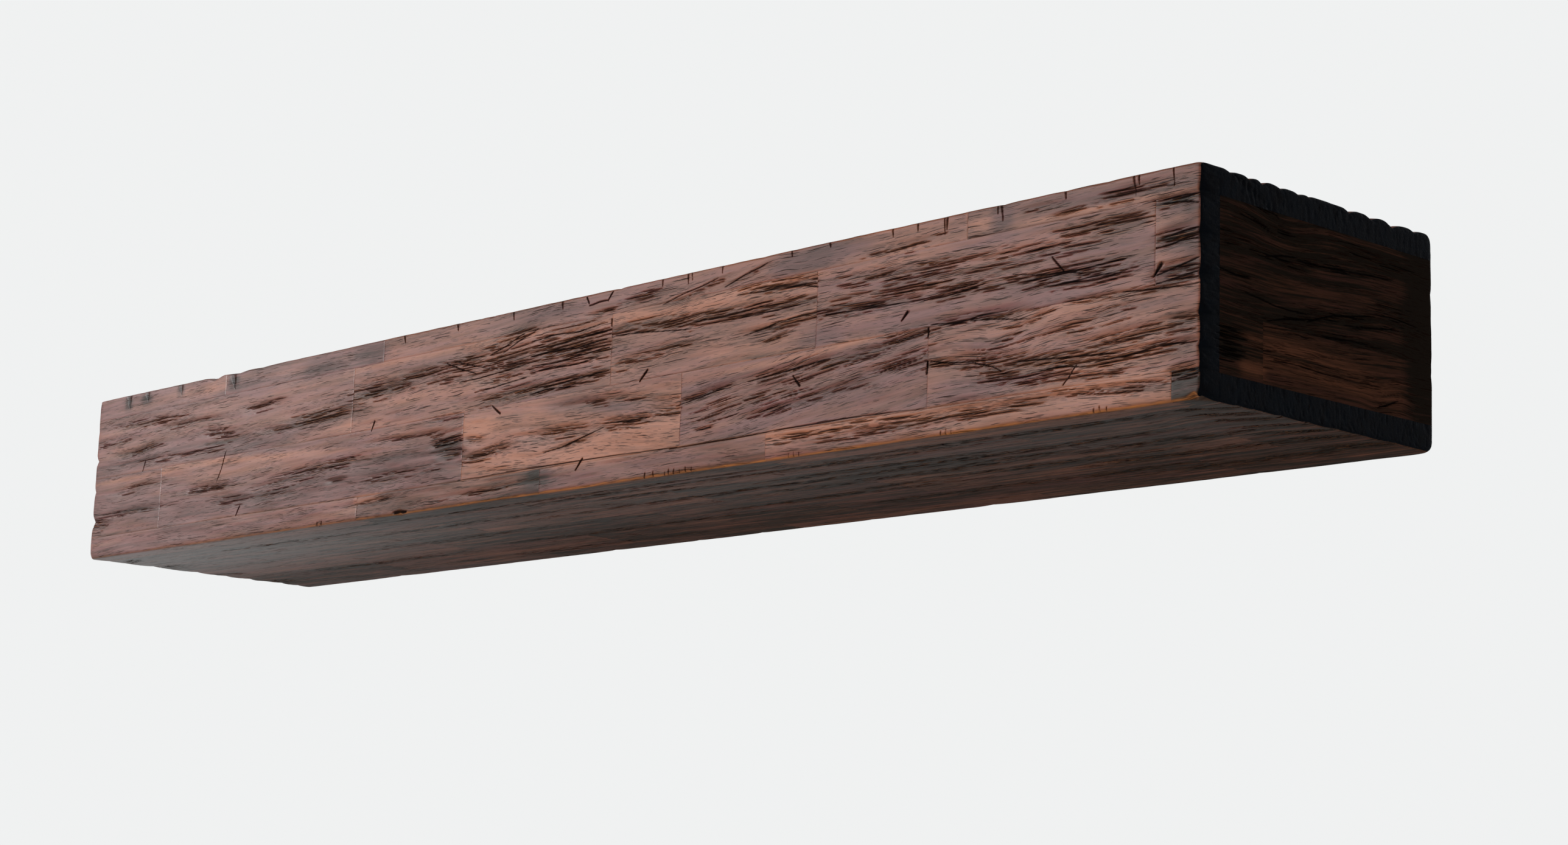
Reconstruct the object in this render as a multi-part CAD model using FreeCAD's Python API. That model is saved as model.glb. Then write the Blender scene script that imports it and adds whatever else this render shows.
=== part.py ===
"""Mantel shelf: a hollow box beam glued up from hardwood staves, hung over a wall cleat.

The beam runs along X with its right end at +X, faces the room along -Y and stands up along +Z.
The origin lies in the wall plane, midway along the beam and level with its mid-height.
"""
import FreeCAD
import Part
import os

# Overall size of the beam
BEAM_LENGTH = 1219.2
BEAM_DEPTH = 228.6
BEAM_HEIGHT = 139.7

# Boards, each glued up edge to edge from rows of staves
BOARD_THICKNESS = 17.5

# Edges of the rows across each board, as shares of its width: whole staves in the middle
# and ripped ones along its edges. The front board and the caps count from the bottom, the
# top and bottom boards from the front.
FRONT_ROW_SHARES = (0, 0.132, 0.5, 0.868, 1)
TOP_ROW_SHARES = (0, 0.043, 0.286, 0.529, 0.772, 1)
BOTTOM_ROW_SHARES = (0, 0.159, 0.402, 0.645, 0.888, 1)
CAP_ROW_SHARES = (0, 0.352, 0.843, 1)

# Finger joints that lengthen each row of staves
FINGER_LENGTH = 8.0
FINGER_SHOULDER = 2.0
FINGERS = 3

# Worn arrises
ARRIS_RADIUS = 2.5
SCALLOP_WIDTH = 20.0
SCALLOP_DEPTH = 1.5

# Wall cleat and the holes for the wall screws
CLEAT_THICKNESS = 38.1
CLEAT_BOTTOM_GAP = 15.8
CLEAT_END_GAP = 3.0
CLEAT_LEAD_IN = 3.0
INNER_HOLE_SPACING = 406.4
OUTER_HOLE_SPACING = 812.8
WALL_HOLE_RADIUS = 4.25
COUNTERBORE_RADIUS = 12.0
COUNTERBORE_DEPTH = 8.0

# Glue blocks and ribs inside the beam
GLUE_BLOCK_SIZE = 20.0
GLUE_BLOCK_CHAMFER = 7.0
RIB_THICKNESS = 15.0
CLEAT_CLEARANCE = 0.3

# Screws that hold the beam on its cleat, and the plugs that hide them
SCREW_SHANK_RADIUS = 2.4
SCREW_HEAD_RADIUS = 4.6
SCREW_HEAD_HEIGHT = 3.2
SCREW_RIM_HEIGHT = 0.6
SCREW_LENGTH = 50.0
SCREW_TIP_LENGTH = 5.0
DRIVE_RECESS_WIDTH = 3.0
DRIVE_RECESS_DEPTH = 1.8
PLUG_RADIUS = 5.0
PLUG_DEPTH = 8.0
SCREW_PLACE_SHARES = (-0.41, -0.13, 0.13, 0.41)

# Dowels between the front board and the boards behind it
DOWEL_RADIUS = 3.0
DOWEL_LENGTH = 26.0
DOWEL_DEPTH_IN_FRONT = 10.0
DOWEL_CHAMFER = 0.8
DOWEL_PLACE_SHARES = (-0.40, -0.23, -0.06, 0.11, 0.28, 0.43)
CAP_DOWEL_PLACE_SHARES = (-0.2, 0.2)

# Glue and fitting clearance around round fasteners, and the overrun of every cut
FIT_GAP = 0.1
OVERRUN = 1.0

# Ends of the staves along each row, as shares of the board length from its left or front end
FRONT_JOINT_SHARES = (
    (0.3254, 0.5092, 0.7034, 0.9825),
    (0.0902, 0.4331, 0.6329, 0.8235),
    (0.3150, 0.5704, 0.7402, 0.9723),
    (0.1650, 0.3464, 0.8496),
)
TOP_JOINT_SHARES = (
    (0.24, 0.58, 0.88),
    (0.13, 0.37, 0.66, 0.92),
    (0.29, 0.61, 0.83),
    (0.09, 0.43, 0.71, 0.94),
    (0.33, 0.57, 0.79),
)
BOTTOM_JOINT_SHARES = (
    (0.21, 0.47, 0.86),
    (0.11, 0.36, 0.58, 0.8018),
    (0.28, 0.51, 0.7044, 0.95),
    (0.16, 0.40, 0.6217, 0.89),
    (0.31, 0.54, 0.75),
)
RIGHT_CAP_JOINT_SHARES = ((0.192,), (), (0.258,))
LEFT_CAP_JOINT_SHARES = ((0.61,), (), (0.43,))

# Scallops worn into each arris: place along the arris as a share of its length, then
# width and depth as shares of the scallop sizes
TOP_FRONT_SHARES = (
    (0.0, 1.0, 1.0), (0.148, 3.5, 1.5), (0.445, 0.7, 0.5), (0.458, 0.7, 0.5),
    (0.576, 1.1, 0.75), (0.697, 1.5, 0.5), (0.874, 1.3, 0.65), (0.915, 1.3, 0.5),
    (0.942, 1.0, 0.5), (1.0, 0.6, 0.9),
)
BOTTOM_FRONT_SHARES = (
    (0.003, 1.2, 1.4), (0.285, 1.3, 0.6), (0.371, 0.8, 1.4), (0.611, 0.6, 0.7),
    (0.640, 1.5, 0.8), (0.725, 1.0, 0.6), (0.837, 0.6, 0.6), (0.938, 0.9, 0.6),
    (0.996, 1.0, 1.6),
)
TOP_BACK_SHARES = (
    (0.09, 1.2, 0.8), (0.27, 1.6, 0.9), (0.41, 0.9, 0.6), (0.63, 1.4, 0.8),
    (0.78, 0.8, 0.7), (0.93, 1.1, 0.9),
)
BOTTOM_BACK_SHARES = (
    (0.12, 1.3, 0.8), (0.36, 1.4, 0.9), (0.443, 0.9, 0.7), (0.502, 0.9, 0.7),
    (0.60, 0.8, 0.6), (0.70, 1.8, 0.9), (0.892, 1.0, 0.7), (1.0, 1.0, 1.8),
)
FRONT_RIGHT_SHARES = (
    (0.02, 0.8, 1.2), (0.13, 0.7, 0.6), (0.22, 0.7, 0.8), (0.363, 0.9, 0.9),
    (0.528, 0.9, 0.8), (0.70, 1.0, 0.9), (0.878, 1.1, 0.8),
)
FRONT_LEFT_SHARES = (
    (0.02, 0.9, 1.3), (0.234, 1.0, 2.3), (0.42, 0.8, 0.9), (0.613, 0.7, 1.9),
    (0.80, 0.9, 0.6), (0.98, 0.6, 0.8),
)
BACK_RIGHT_SHARES = ((0.03, 0.8, 1.5), (0.35, 0.9, 0.6), (0.72, 0.8, 0.7))
BACK_LEFT_SHARES = ((0.08, 0.8, 0.9), (0.47, 1.0, 0.7), (0.84, 0.9, 0.8))
TOP_RIGHT_SHARES = (
    (0.122, 0.9, 0.7), (0.197, 0.8, 0.8), (0.252, 0.7, 1.1), (0.328, 0.9, 0.7),
    (0.405, 0.8, 0.75), (0.450, 0.5, 0.6), (0.626, 1.1, 0.8), (0.722, 1.1, 0.9),
    (0.818, 1.2, 1.2), (0.919, 0.9, 0.6), (0.989, 0.6, 0.8),
)
BOTTOM_RIGHT_SHARES = (
    (0.02, 1.2, 1.6), (0.153, 0.7, 0.6), (0.22, 0.6, 0.6), (0.33, 0.8, 0.7),
    (0.45, 0.9, 0.6), (0.57, 1.0, 0.7), (0.70, 0.8, 0.6), (0.83, 0.9, 0.8), (0.97, 0.9, 1.2),
)
TOP_LEFT_SHARES = (
    (0.05, 0.8, 0.9), (0.17, 0.7, 0.7), (0.31, 1.1, 1.1), (0.44, 0.8, 0.7),
    (0.58, 0.9, 0.9), (0.71, 1.2, 1.2), (0.86, 0.8, 0.8), (0.96, 0.7, 0.7),
)
BOTTOM_LEFT_SHARES = (
    (0.055, 1.2, 1.2), (0.262, 1.3, 1.4), (0.459, 1.2, 1.3), (0.60, 0.8, 0.8),
    (0.70, 1.2, 1.2), (0.853, 1.0, 1.1), (0.93, 0.9, 1.0),
)

RIGHT = FreeCAD.Vector(1, 0, 0)
BACK = FreeCAD.Vector(0, 1, 0)
UP = FreeCAD.Vector(0, 0, 1)

HALF_LENGTH = BEAM_LENGTH / 2
HALF_HEIGHT = BEAM_HEIGHT / 2
INNER_HALF_LENGTH = HALF_LENGTH - BOARD_THICKNESS
INNER_HALF_HEIGHT = HALF_HEIGHT - BOARD_THICKNESS
BACK_OF_FRONT_BOARD = BOARD_THICKNESS - BEAM_DEPTH
FRONT_OF_CLEAT = -CLEAT_THICKNESS
BACK_OF_INNER_PIECES = FRONT_OF_CLEAT - CLEAT_CLEARANCE
SCREW_SEAT_HEIGHT = HALF_HEIGHT - PLUG_DEPTH


def box(x_low, x_high, y_low, y_high, z_low, z_high):
    """Block between two opposite corners."""
    corner = FreeCAD.Vector(x_low, y_low, z_low)
    return Part.makeBox(x_high - x_low, y_high - y_low, z_high - z_low, corner)


def prism(outline, rise):
    """Solid made by raising a closed outline of points along the vector rise."""
    face = Part.Face(Part.makePolygon(outline + outline[:1]))
    return face.extrude(rise)


def arrises():
    """Each worn arris of the beam: its first corner, direction, length, outward side, scallops."""
    left_end, right_end = RIGHT * -HALF_LENGTH, RIGHT * HALF_LENGTH
    front, wall = BACK * -BEAM_DEPTH, BACK * 0
    low, high = UP * -HALF_HEIGHT, UP * HALF_HEIGHT
    return (
        (left_end + front + high, RIGHT, BEAM_LENGTH, UP - BACK, TOP_FRONT_SHARES),
        (left_end + front + low, RIGHT, BEAM_LENGTH, -BACK - UP, BOTTOM_FRONT_SHARES),
        (left_end + wall + high, RIGHT, BEAM_LENGTH, UP + BACK, TOP_BACK_SHARES),
        (left_end + wall + low, RIGHT, BEAM_LENGTH, BACK - UP, BOTTOM_BACK_SHARES),
        (right_end + front + low, UP, BEAM_HEIGHT, RIGHT - BACK, FRONT_RIGHT_SHARES),
        (left_end + front + low, UP, BEAM_HEIGHT, -RIGHT - BACK, FRONT_LEFT_SHARES),
        (right_end + wall + low, UP, BEAM_HEIGHT, RIGHT + BACK, BACK_RIGHT_SHARES),
        (left_end + wall + low, UP, BEAM_HEIGHT, BACK - RIGHT, BACK_LEFT_SHARES),
        (right_end + front + high, BACK, BEAM_DEPTH, RIGHT + UP, TOP_RIGHT_SHARES),
        (right_end + front + low, BACK, BEAM_DEPTH, RIGHT - UP, BOTTOM_RIGHT_SHARES),
        (left_end + front + high, BACK, BEAM_DEPTH, UP - RIGHT, TOP_LEFT_SHARES),
        (left_end + front + low, BACK, BEAM_DEPTH, -RIGHT - UP, BOTTOM_LEFT_SHARES),
    )


def scallop(corner, along, outward, width, depth):
    """Round cutter that dips below the arris by depth over a chord of the given width."""
    radius = width * width / (8 * depth) + depth / 2
    across = along.cross(outward)
    reach = depth * 2
    centre = corner + outward * (radius - depth)
    return Part.makeCylinder(radius, reach * 2, centre - across * reach, across)


def beam_envelope():
    """Outside of the whole beam: a block with eased and scalloped arrises."""
    block = box(-HALF_LENGTH, HALF_LENGTH, -BEAM_DEPTH, 0, -HALF_HEIGHT, HALF_HEIGHT)
    block = block.makeFillet(ARRIS_RADIUS, block.Edges)
    cutters = []
    for first, along, length, side, shares in arrises():
        outward = FreeCAD.Vector(side).normalize()
        for place, width, depth in shares:
            corner = first + along * (length * place)
            cutters.append(scallop(corner, along, outward, SCALLOP_WIDTH * width, SCALLOP_DEPTH * depth))
    return block.cut(cutters)


def finger_line(place):
    """Points of a finger joint across the board: (distance along the stave, depth below its face)."""
    step = (BOARD_THICKNESS - 2 * FINGER_SHOULDER) / (2 * FINGERS)
    points = [(place, 0)]
    for index in range(2 * FINGERS + 1):
        reach = FINGER_LENGTH if index % 2 else 0
        points.append((place + reach, FINGER_SHOULDER + index * step))
    points.append((place, BOARD_THICKNESS))
    return points


def stave(start, end, length, low, high, corner, along, inward, across):
    """One stave of a board, from start to end along it and from low to high across it.

    A stave meets its neighbour in a finger joint, and ends square at the end of the board.
    """
    first = finger_line(start) if start > 0 else [(0, 0), (0, BOARD_THICKNESS)]
    last = finger_line(end) if end < length else [(length, 0), (length, BOARD_THICKNESS)]
    base = corner + across * low
    outline = [base + along * u + inward * v for u, v in first + last[::-1]]
    return prism(outline, across * (high - low))


def boxes_meet(one, other):
    """Whether the boxes around two solids meet."""
    return one.BoundBox.intersect(other.BoundBox)


def shape_stave(blank, envelope, bores):
    """Stave cut to the outside of the beam and bored for the fasteners that reach it."""
    for bore in bores:
        if boxes_meet(blank, bore):
            blank = blank.cut(bore)
    return blank.common(envelope).Solids[0]


def board(length, width, row_shares, joint_shares, corner, along, inward, across, envelope, bores):
    """Rows of staves of one board, each row a list of solids."""
    edges = [width * share for share in row_shares]
    rows = []
    for index, shares in enumerate(joint_shares):
        ends = [0] + [length * share for share in shares] + [length]
        rows.append([
            shape_stave(
                stave(ends[k], ends[k + 1], length, edges[index], edges[index + 1],
                      corner, along, inward, across),
                envelope, bores)
            for k in range(len(ends) - 1)
        ])
    return rows


def front_board(envelope, bores):
    """Full-height board that faces the room, in rows from the bottom up."""
    corner = FreeCAD.Vector(-HALF_LENGTH, -BEAM_DEPTH, -HALF_HEIGHT)
    return board(BEAM_LENGTH, BEAM_HEIGHT, FRONT_ROW_SHARES, FRONT_JOINT_SHARES,
                 corner, RIGHT, BACK, UP, envelope, bores)


def top_board(envelope, bores):
    """Board that makes the shelf surface, in rows from the front board to the wall."""
    corner = FreeCAD.Vector(-HALF_LENGTH, BACK_OF_FRONT_BOARD, HALF_HEIGHT)
    return board(BEAM_LENGTH, -BACK_OF_FRONT_BOARD, TOP_ROW_SHARES, TOP_JOINT_SHARES,
                 corner, RIGHT, -UP, BACK, envelope, bores)


def bottom_board(envelope, bores):
    """Board under the beam, in rows from the front board to the wall."""
    corner = FreeCAD.Vector(-HALF_LENGTH, BACK_OF_FRONT_BOARD, -HALF_HEIGHT)
    return board(BEAM_LENGTH, -BACK_OF_FRONT_BOARD, BOTTOM_ROW_SHARES, BOTTOM_JOINT_SHARES,
                 corner, RIGHT, UP, BACK, envelope, bores)


def end_cap(side, joint_shares, envelope, bores):
    """Cap that closes the left (-1) or right (1) end, its grain from front to back."""
    corner = FreeCAD.Vector(side * HALF_LENGTH, BACK_OF_FRONT_BOARD, -INNER_HALF_HEIGHT)
    return board(-BACK_OF_FRONT_BOARD, 2 * INNER_HALF_HEIGHT, CAP_ROW_SHARES, joint_shares,
                 corner, BACK, RIGHT * -side, UP, envelope, bores)


def front_dowel_places():
    """Middles of the dowels between the front board and the top and bottom boards."""
    height = HALF_HEIGHT - BOARD_THICKNESS / 2
    return {
        "front_top_dowels": [(BEAM_LENGTH * share, height) for share in DOWEL_PLACE_SHARES],
        "front_bottom_dowels": [(BEAM_LENGTH * share, -height) for share in DOWEL_PLACE_SHARES],
    }


def cap_dowel_places():
    """Middles of the dowels between the front board and the end caps."""
    reach = HALF_LENGTH - BOARD_THICKNESS / 2
    return {
        "end_cap_dowels": [
            (side * reach, BEAM_HEIGHT * share) for side in (-1, 1) for share in CAP_DOWEL_PLACE_SHARES
        ],
    }


def dowel(x, z):
    """Dowel with chamfered ends across the joint behind the front board."""
    start = FreeCAD.Vector(x, BACK_OF_FRONT_BOARD - DOWEL_DEPTH_IN_FRONT, z)
    pin = Part.makeCylinder(DOWEL_RADIUS, DOWEL_LENGTH, start, BACK)
    rims = [edge for edge in pin.Edges if edge.Closed and isinstance(edge.Curve, Part.Circle)]
    return pin.makeChamfer(DOWEL_CHAMFER, rims)


def dowel_bore(x, z):
    """Hole for one dowel, with its glue clearance all round."""
    start = FreeCAD.Vector(x, BACK_OF_FRONT_BOARD - DOWEL_DEPTH_IN_FRONT - FIT_GAP, z)
    return Part.makeCylinder(DOWEL_RADIUS + FIT_GAP, DOWEL_LENGTH + 2 * FIT_GAP, start, BACK)


def turned(profile, x, y):
    """Solid turned about a vertical line from a profile of (radius, height) points."""
    points = [FreeCAD.Vector(x + radius, y, height) for radius, height in profile]
    face = Part.Face(Part.makePolygon(points + points[:1]))
    return face.revolve(FreeCAD.Vector(x, y, 0), UP, 360)


def screw_places():
    """Plan places of the screws, above the middle of the cleat's thickness."""
    return [(BEAM_LENGTH * share, FRONT_OF_CLEAT / 2) for share in SCREW_PLACE_SHARES]


def screw(x, y):
    """Countersunk wood screw, head up, with a square drive recess."""
    top = SCREW_SEAT_HEIGHT - FIT_GAP
    neck = top - SCREW_HEAD_HEIGHT
    tip = top - SCREW_LENGTH
    body = turned([
        (0, top), (SCREW_HEAD_RADIUS, top), (SCREW_HEAD_RADIUS, top - SCREW_RIM_HEIGHT),
        (SCREW_SHANK_RADIUS, neck), (SCREW_SHANK_RADIUS, tip + SCREW_TIP_LENGTH), (0, tip),
    ], x, y)
    half = DRIVE_RECESS_WIDTH / 2
    return body.cut(box(x - half, x + half, y - half, y + half, top - DRIVE_RECESS_DEPTH, top + OVERRUN))


def screw_bore(x, y):
    """Plug pocket, countersink and shank hole for one screw, each with its clearance."""
    seat = SCREW_SEAT_HEIGHT - FIT_GAP
    neck = seat - SCREW_HEAD_HEIGHT - FIT_GAP
    head = SCREW_HEAD_RADIUS + FIT_GAP
    shank = SCREW_SHANK_RADIUS + FIT_GAP
    pocket = PLUG_RADIUS + FIT_GAP
    tip = seat - SCREW_LENGTH - FIT_GAP
    return turned([
        (0, HALF_HEIGHT + OVERRUN), (pocket, HALF_HEIGHT + OVERRUN), (pocket, seat),
        (head, seat), (head, seat - SCREW_RIM_HEIGHT - FIT_GAP), (shank, neck), (shank, tip), (0, tip),
    ], x, y)


def plug(x, y):
    """Wood plug over one screw, flush with the shelf surface."""
    base = FreeCAD.Vector(x, y, SCREW_SEAT_HEIGHT)
    return Part.makeCylinder(PLUG_RADIUS, PLUG_DEPTH, base, UP)


def wall_hole(x):
    """Hole through the cleat for a wall screw, with a counterbore for its head and washer."""
    front = FreeCAD.Vector(x, FRONT_OF_CLEAT, 0)
    shank = Part.makeCylinder(WALL_HOLE_RADIUS, CLEAT_THICKNESS + 2 * OVERRUN, front - BACK * OVERRUN, BACK)
    head_depth = COUNTERBORE_DEPTH + OVERRUN
    return shank.fuse(Part.makeCylinder(COUNTERBORE_RADIUS, head_depth, front - BACK * OVERRUN, BACK))


def wall_cleat(screw_bores):
    """Ledger that is screwed to the wall and carries the beam under its top board."""
    reach = INNER_HALF_LENGTH - CLEAT_END_GAP
    top = INNER_HALF_HEIGHT
    bottom = CLEAT_BOTTOM_GAP - top
    section = [
        (FRONT_OF_CLEAT, bottom), (0, bottom), (0, top),
        (FRONT_OF_CLEAT + CLEAT_LEAD_IN, top), (FRONT_OF_CLEAT, top - CLEAT_LEAD_IN),
    ]
    bar = prism([FreeCAD.Vector(-reach, y, z) for y, z in section], RIGHT * (2 * reach))
    for spacing in (INNER_HOLE_SPACING, OUTER_HOLE_SPACING):
        for side in (-1, 1):
            bar = bar.cut(wall_hole(side * spacing / 2))
    for bore in screw_bores:
        bar = bar.cut(bore)
    return bar


def glue_block(corner, along, length, first, second):
    """Square strip glued into an inside corner, its free arris chamfered."""
    size = GLUE_BLOCK_SIZE
    short = size - GLUE_BLOCK_CHAMFER
    section = [(0, 0), (size, 0), (size, short), (short, size), (0, size)]
    return prism([corner + first * u + second * v for u, v in section], along * length)


def rib_faces():
    """Left faces of the two ribs, which part the inside into three equal bays."""
    bay = (2 * (INNER_HALF_LENGTH - GLUE_BLOCK_SIZE) - 2 * RIB_THICKNESS) / 3
    first = GLUE_BLOCK_SIZE - INNER_HALF_LENGTH + bay
    return first, first + RIB_THICKNESS + bay


def rib(face):
    """Upright rib between the front board and the cleat."""
    return box(face, face + RIB_THICKNESS, BACK_OF_FRONT_BOARD, BACK_OF_INNER_PIECES,
               -INNER_HALF_HEIGHT, INNER_HALF_HEIGHT)


def front_glue_blocks(side):
    """Three strips behind the front board, under the top board (1) or on the bottom board (-1)."""
    first_rib, second_rib = rib_faces()
    end = INNER_HALF_LENGTH - GLUE_BLOCK_SIZE
    bays = ((-end, first_rib), (first_rib + RIB_THICKNESS, second_rib), (second_rib + RIB_THICKNESS, end))
    return [
        glue_block(FreeCAD.Vector(low, BACK_OF_FRONT_BOARD, side * INNER_HALF_HEIGHT),
                   RIGHT, high - low, BACK, UP * -side)
        for low, high in bays
    ]


def end_glue_blocks(side):
    """Two strips behind the left (-1) or right (1) cap, one at the top and one at the bottom."""
    length = BACK_OF_INNER_PIECES - BACK_OF_FRONT_BOARD
    return [
        glue_block(FreeCAD.Vector(side * INNER_HALF_LENGTH, BACK_OF_FRONT_BOARD, level * INNER_HALF_HEIGHT),
                   BACK, length, RIGHT * -side, UP * -level)
        for level in (-1, 1)
    ]


def stave_nodes(prefix, rows, row_names):
    """One node for each stave, named by its row and its place from the left or the front."""
    return {
        f"{prefix}_{row_name}_stave_{place + 1}": [solid]
        for row, row_name in zip(rows, row_names)
        for place, solid in enumerate(row)
    }


def row_nodes(prefix, rows):
    """One node for each row of staves, counted from the front."""
    return {f"{prefix}_row_{index + 1}_staves": row for index, row in enumerate(rows)}


def mantel_shelf():
    """Every sub-part of the shelf: node name to its solids."""
    envelope = beam_envelope()
    dowels = {**front_dowel_places(), **cap_dowel_places()}
    dowel_bores = [dowel_bore(x, z) for places in dowels.values() for x, z in places]
    screw_bores = [screw_bore(x, y) for x, y in screw_places()]
    first_rib, second_rib = rib_faces()
    front_rows = front_board(envelope, dowel_bores)
    row_names = ["bottom_row"] + [f"middle_row_{k}" for k in range(1, len(front_rows) - 1)] + ["top_row"]
    cap_names = ("lower_row", "middle_row", "upper_row")
    nodes = stave_nodes("front", front_rows, row_names)
    nodes.update(row_nodes("top_board", top_board(envelope, dowel_bores + screw_bores)))
    nodes.update(row_nodes("bottom_board", bottom_board(envelope, dowel_bores)))
    left_cap = end_cap(-1, LEFT_CAP_JOINT_SHARES, envelope, dowel_bores)
    right_cap = end_cap(1, RIGHT_CAP_JOINT_SHARES, envelope, dowel_bores)
    nodes.update(stave_nodes("left_cap", left_cap, cap_names))
    nodes.update(stave_nodes("right_cap", right_cap, cap_names))
    nodes.update({name: [dowel(x, z) for x, z in places] for name, places in dowels.items()})
    nodes["wall_cleat"] = [wall_cleat(screw_bores)]
    nodes["cleat_screws"] = [screw(x, y) for x, y in screw_places()]
    nodes["screw_plugs"] = [plug(x, y) for x, y in screw_places()]
    nodes["left_rib"] = [rib(first_rib)]
    nodes["right_rib"] = [rib(second_rib)]
    nodes["front_top_glue_blocks"] = front_glue_blocks(1)
    nodes["front_bottom_glue_blocks"] = front_glue_blocks(-1)
    nodes["left_end_glue_blocks"] = end_glue_blocks(-1)
    nodes["right_end_glue_blocks"] = end_glue_blocks(1)
    return nodes


def main():
    """Write each sub-part to its own file."""
    os.makedirs("parts", exist_ok=True)
    for name, solids in mantel_shelf().items():
        shape = solids[0] if len(solids) == 1 else Part.makeCompound(solids)
        shape.exportStep(f"parts/{name}.step")
        print(name, len(shape.Solids), round(shape.Volume), shape.isValid())


main()
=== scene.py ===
"""Looks of a mantel shelf: a hollow box beam of dark stained hardwood staves with hand-worn arrises.

The beam runs along X, faces the room along -Y, and its origin lies in the wall plane. All sizes are
in metres, and the tables of marks are in millimetres on the face that carries them.
"""

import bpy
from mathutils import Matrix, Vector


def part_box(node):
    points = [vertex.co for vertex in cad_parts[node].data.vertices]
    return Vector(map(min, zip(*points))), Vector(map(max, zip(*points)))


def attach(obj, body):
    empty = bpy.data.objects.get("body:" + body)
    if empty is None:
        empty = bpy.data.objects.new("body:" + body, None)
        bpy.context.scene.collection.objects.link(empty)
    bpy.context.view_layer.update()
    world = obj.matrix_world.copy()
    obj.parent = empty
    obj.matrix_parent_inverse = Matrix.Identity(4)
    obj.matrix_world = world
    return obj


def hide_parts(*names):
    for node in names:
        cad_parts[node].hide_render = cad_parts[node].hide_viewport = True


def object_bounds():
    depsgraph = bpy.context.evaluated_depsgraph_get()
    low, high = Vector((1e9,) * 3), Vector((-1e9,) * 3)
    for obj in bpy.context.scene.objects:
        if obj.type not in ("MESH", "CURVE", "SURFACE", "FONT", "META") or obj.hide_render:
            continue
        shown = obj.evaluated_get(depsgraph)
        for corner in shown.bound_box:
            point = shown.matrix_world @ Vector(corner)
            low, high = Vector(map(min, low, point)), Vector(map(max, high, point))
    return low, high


bl_info = {
    "name": "Mantel Shelf",
    "version": (1, 0, 0),
    "blender": (4, 5, 0),
    "location": "3D View > Sidebar > Mantel Shelf",
    "description": "Worn staves, stained finish and studio of a wall-hung mantel shelf",
    "category": "Add Mesh",
}

import math
from collections import namedtuple

import bpy
import numpy as np
from mathutils import Matrix, Vector

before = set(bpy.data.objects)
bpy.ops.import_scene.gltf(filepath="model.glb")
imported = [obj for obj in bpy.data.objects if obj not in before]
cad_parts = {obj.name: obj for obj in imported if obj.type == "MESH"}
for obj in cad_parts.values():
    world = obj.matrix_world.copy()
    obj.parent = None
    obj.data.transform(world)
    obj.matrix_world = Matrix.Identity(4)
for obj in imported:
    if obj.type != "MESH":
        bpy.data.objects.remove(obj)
CAD_BOUNDS = [list(corner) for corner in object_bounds()]

MM = 0.001
BODY = "root"

# The beam's own box and the thickness of its boards, as the frame gives them
LOW, HIGH = (np.array(corner) for corner in CAD_BOUNDS)
LENGTH, DEPTH, HEIGHT = HIGH - LOW
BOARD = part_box("front_middle_row_1_stave_2")[1].y - LOW[1]

# The front's places were read off the photo; a row or joint that it hides is a guess.
# Edges of the rows across each board and ends of the staves along it, as shares of the board
FRONT_ROW_SHARES = (0, 0.132, 0.5, 0.868, 1)
TOP_ROW_SHARES = (0, 0.043, 0.286, 0.529, 0.772, 1)
BOTTOM_ROW_SHARES = (0, 0.159, 0.402, 0.645, 0.888, 1)
CAP_ROW_SHARES = (0, 0.352, 0.843, 1)
FRONT_JOINT_SHARES = (
    (0.3254, 0.5092, 0.7034, 0.9825),
    (0.0902, 0.4331, 0.6329, 0.8235),
    (0.3150, 0.5704, 0.7402, 0.9723),
    (0.1650, 0.3464, 0.8496),
)
TOP_JOINT_SHARES = (
    (0.24, 0.58, 0.88),
    (0.13, 0.37, 0.66, 0.92),
    (0.29, 0.61, 0.83),
    (0.09, 0.43, 0.71, 0.94),
    (0.33, 0.57, 0.79),
)
BOTTOM_JOINT_SHARES = (
    (0.21, 0.47, 0.86),
    (0.11, 0.36, 0.58, 0.8018),
    (0.28, 0.51, 0.7044, 0.95),
    (0.16, 0.40, 0.6217, 0.89),
    (0.31, 0.54, 0.75),
)
RIGHT_CAP_JOINT_SHARES = ((0.192,), (), (0.258,))
LEFT_CAP_JOINT_SHARES = ((0.61,), (), (0.43,))

# Finger joints that lengthen each row, as distances below the face and along the stave
FINGER_LENGTH = 8 * MM
FINGER_SHOULDER = 2 * MM
FINGERS = 3
FINGER_PITCH = (BOARD - 2 * FINGER_SHOULDER) / (2 * FINGERS)
FINGER_DEPTHS = [FINGER_SHOULDER + FINGER_PITCH * k for k in range(2 * FINGERS + 1)]

# Graded places beside the ends and edges of a stave, and the depths of the rings down its walls
# above the first finger, in millimetres; a wall that never shows needs one ring only
EDGE_PLACES = (0, 0.35, 0.8, 1.4, 2.2, 3.2, 4.4)
SHOWN_RIM_DEPTHS = (0.4, 0.9, 1.5, 2.0, 2.7, 3.5)
HIDDEN_RIM_DEPTHS = (2.0,)

# How deep the wear of an arris is looked for, and where its pull on the points fades out
ARRIS_REACH = 16 * MM
FADE_START, FADE_END = 9 * MM, 14 * MM

# Sideways swing of the single cuts and of the nicks, and the nicks' depth in millimetres
CUT_WAVER, NICK_WAVER = 0.9 * MM, 1.3 * MM
NICK_DEPTH = 0.9

# The two sizes of checks: length, distance apart, half width, and what is added to the seed
CHECK_LAYERS = ((90, 2.0, 0.6, 11), (40, 1.6, 0.5, 21))

# Place and side of each square light
KEY_LIGHT = ((-4.2, -4.9, 2.1), 2.8)
BACK_LIGHT = ((0.6, 2.4, 1.2), 1.6)

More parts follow.
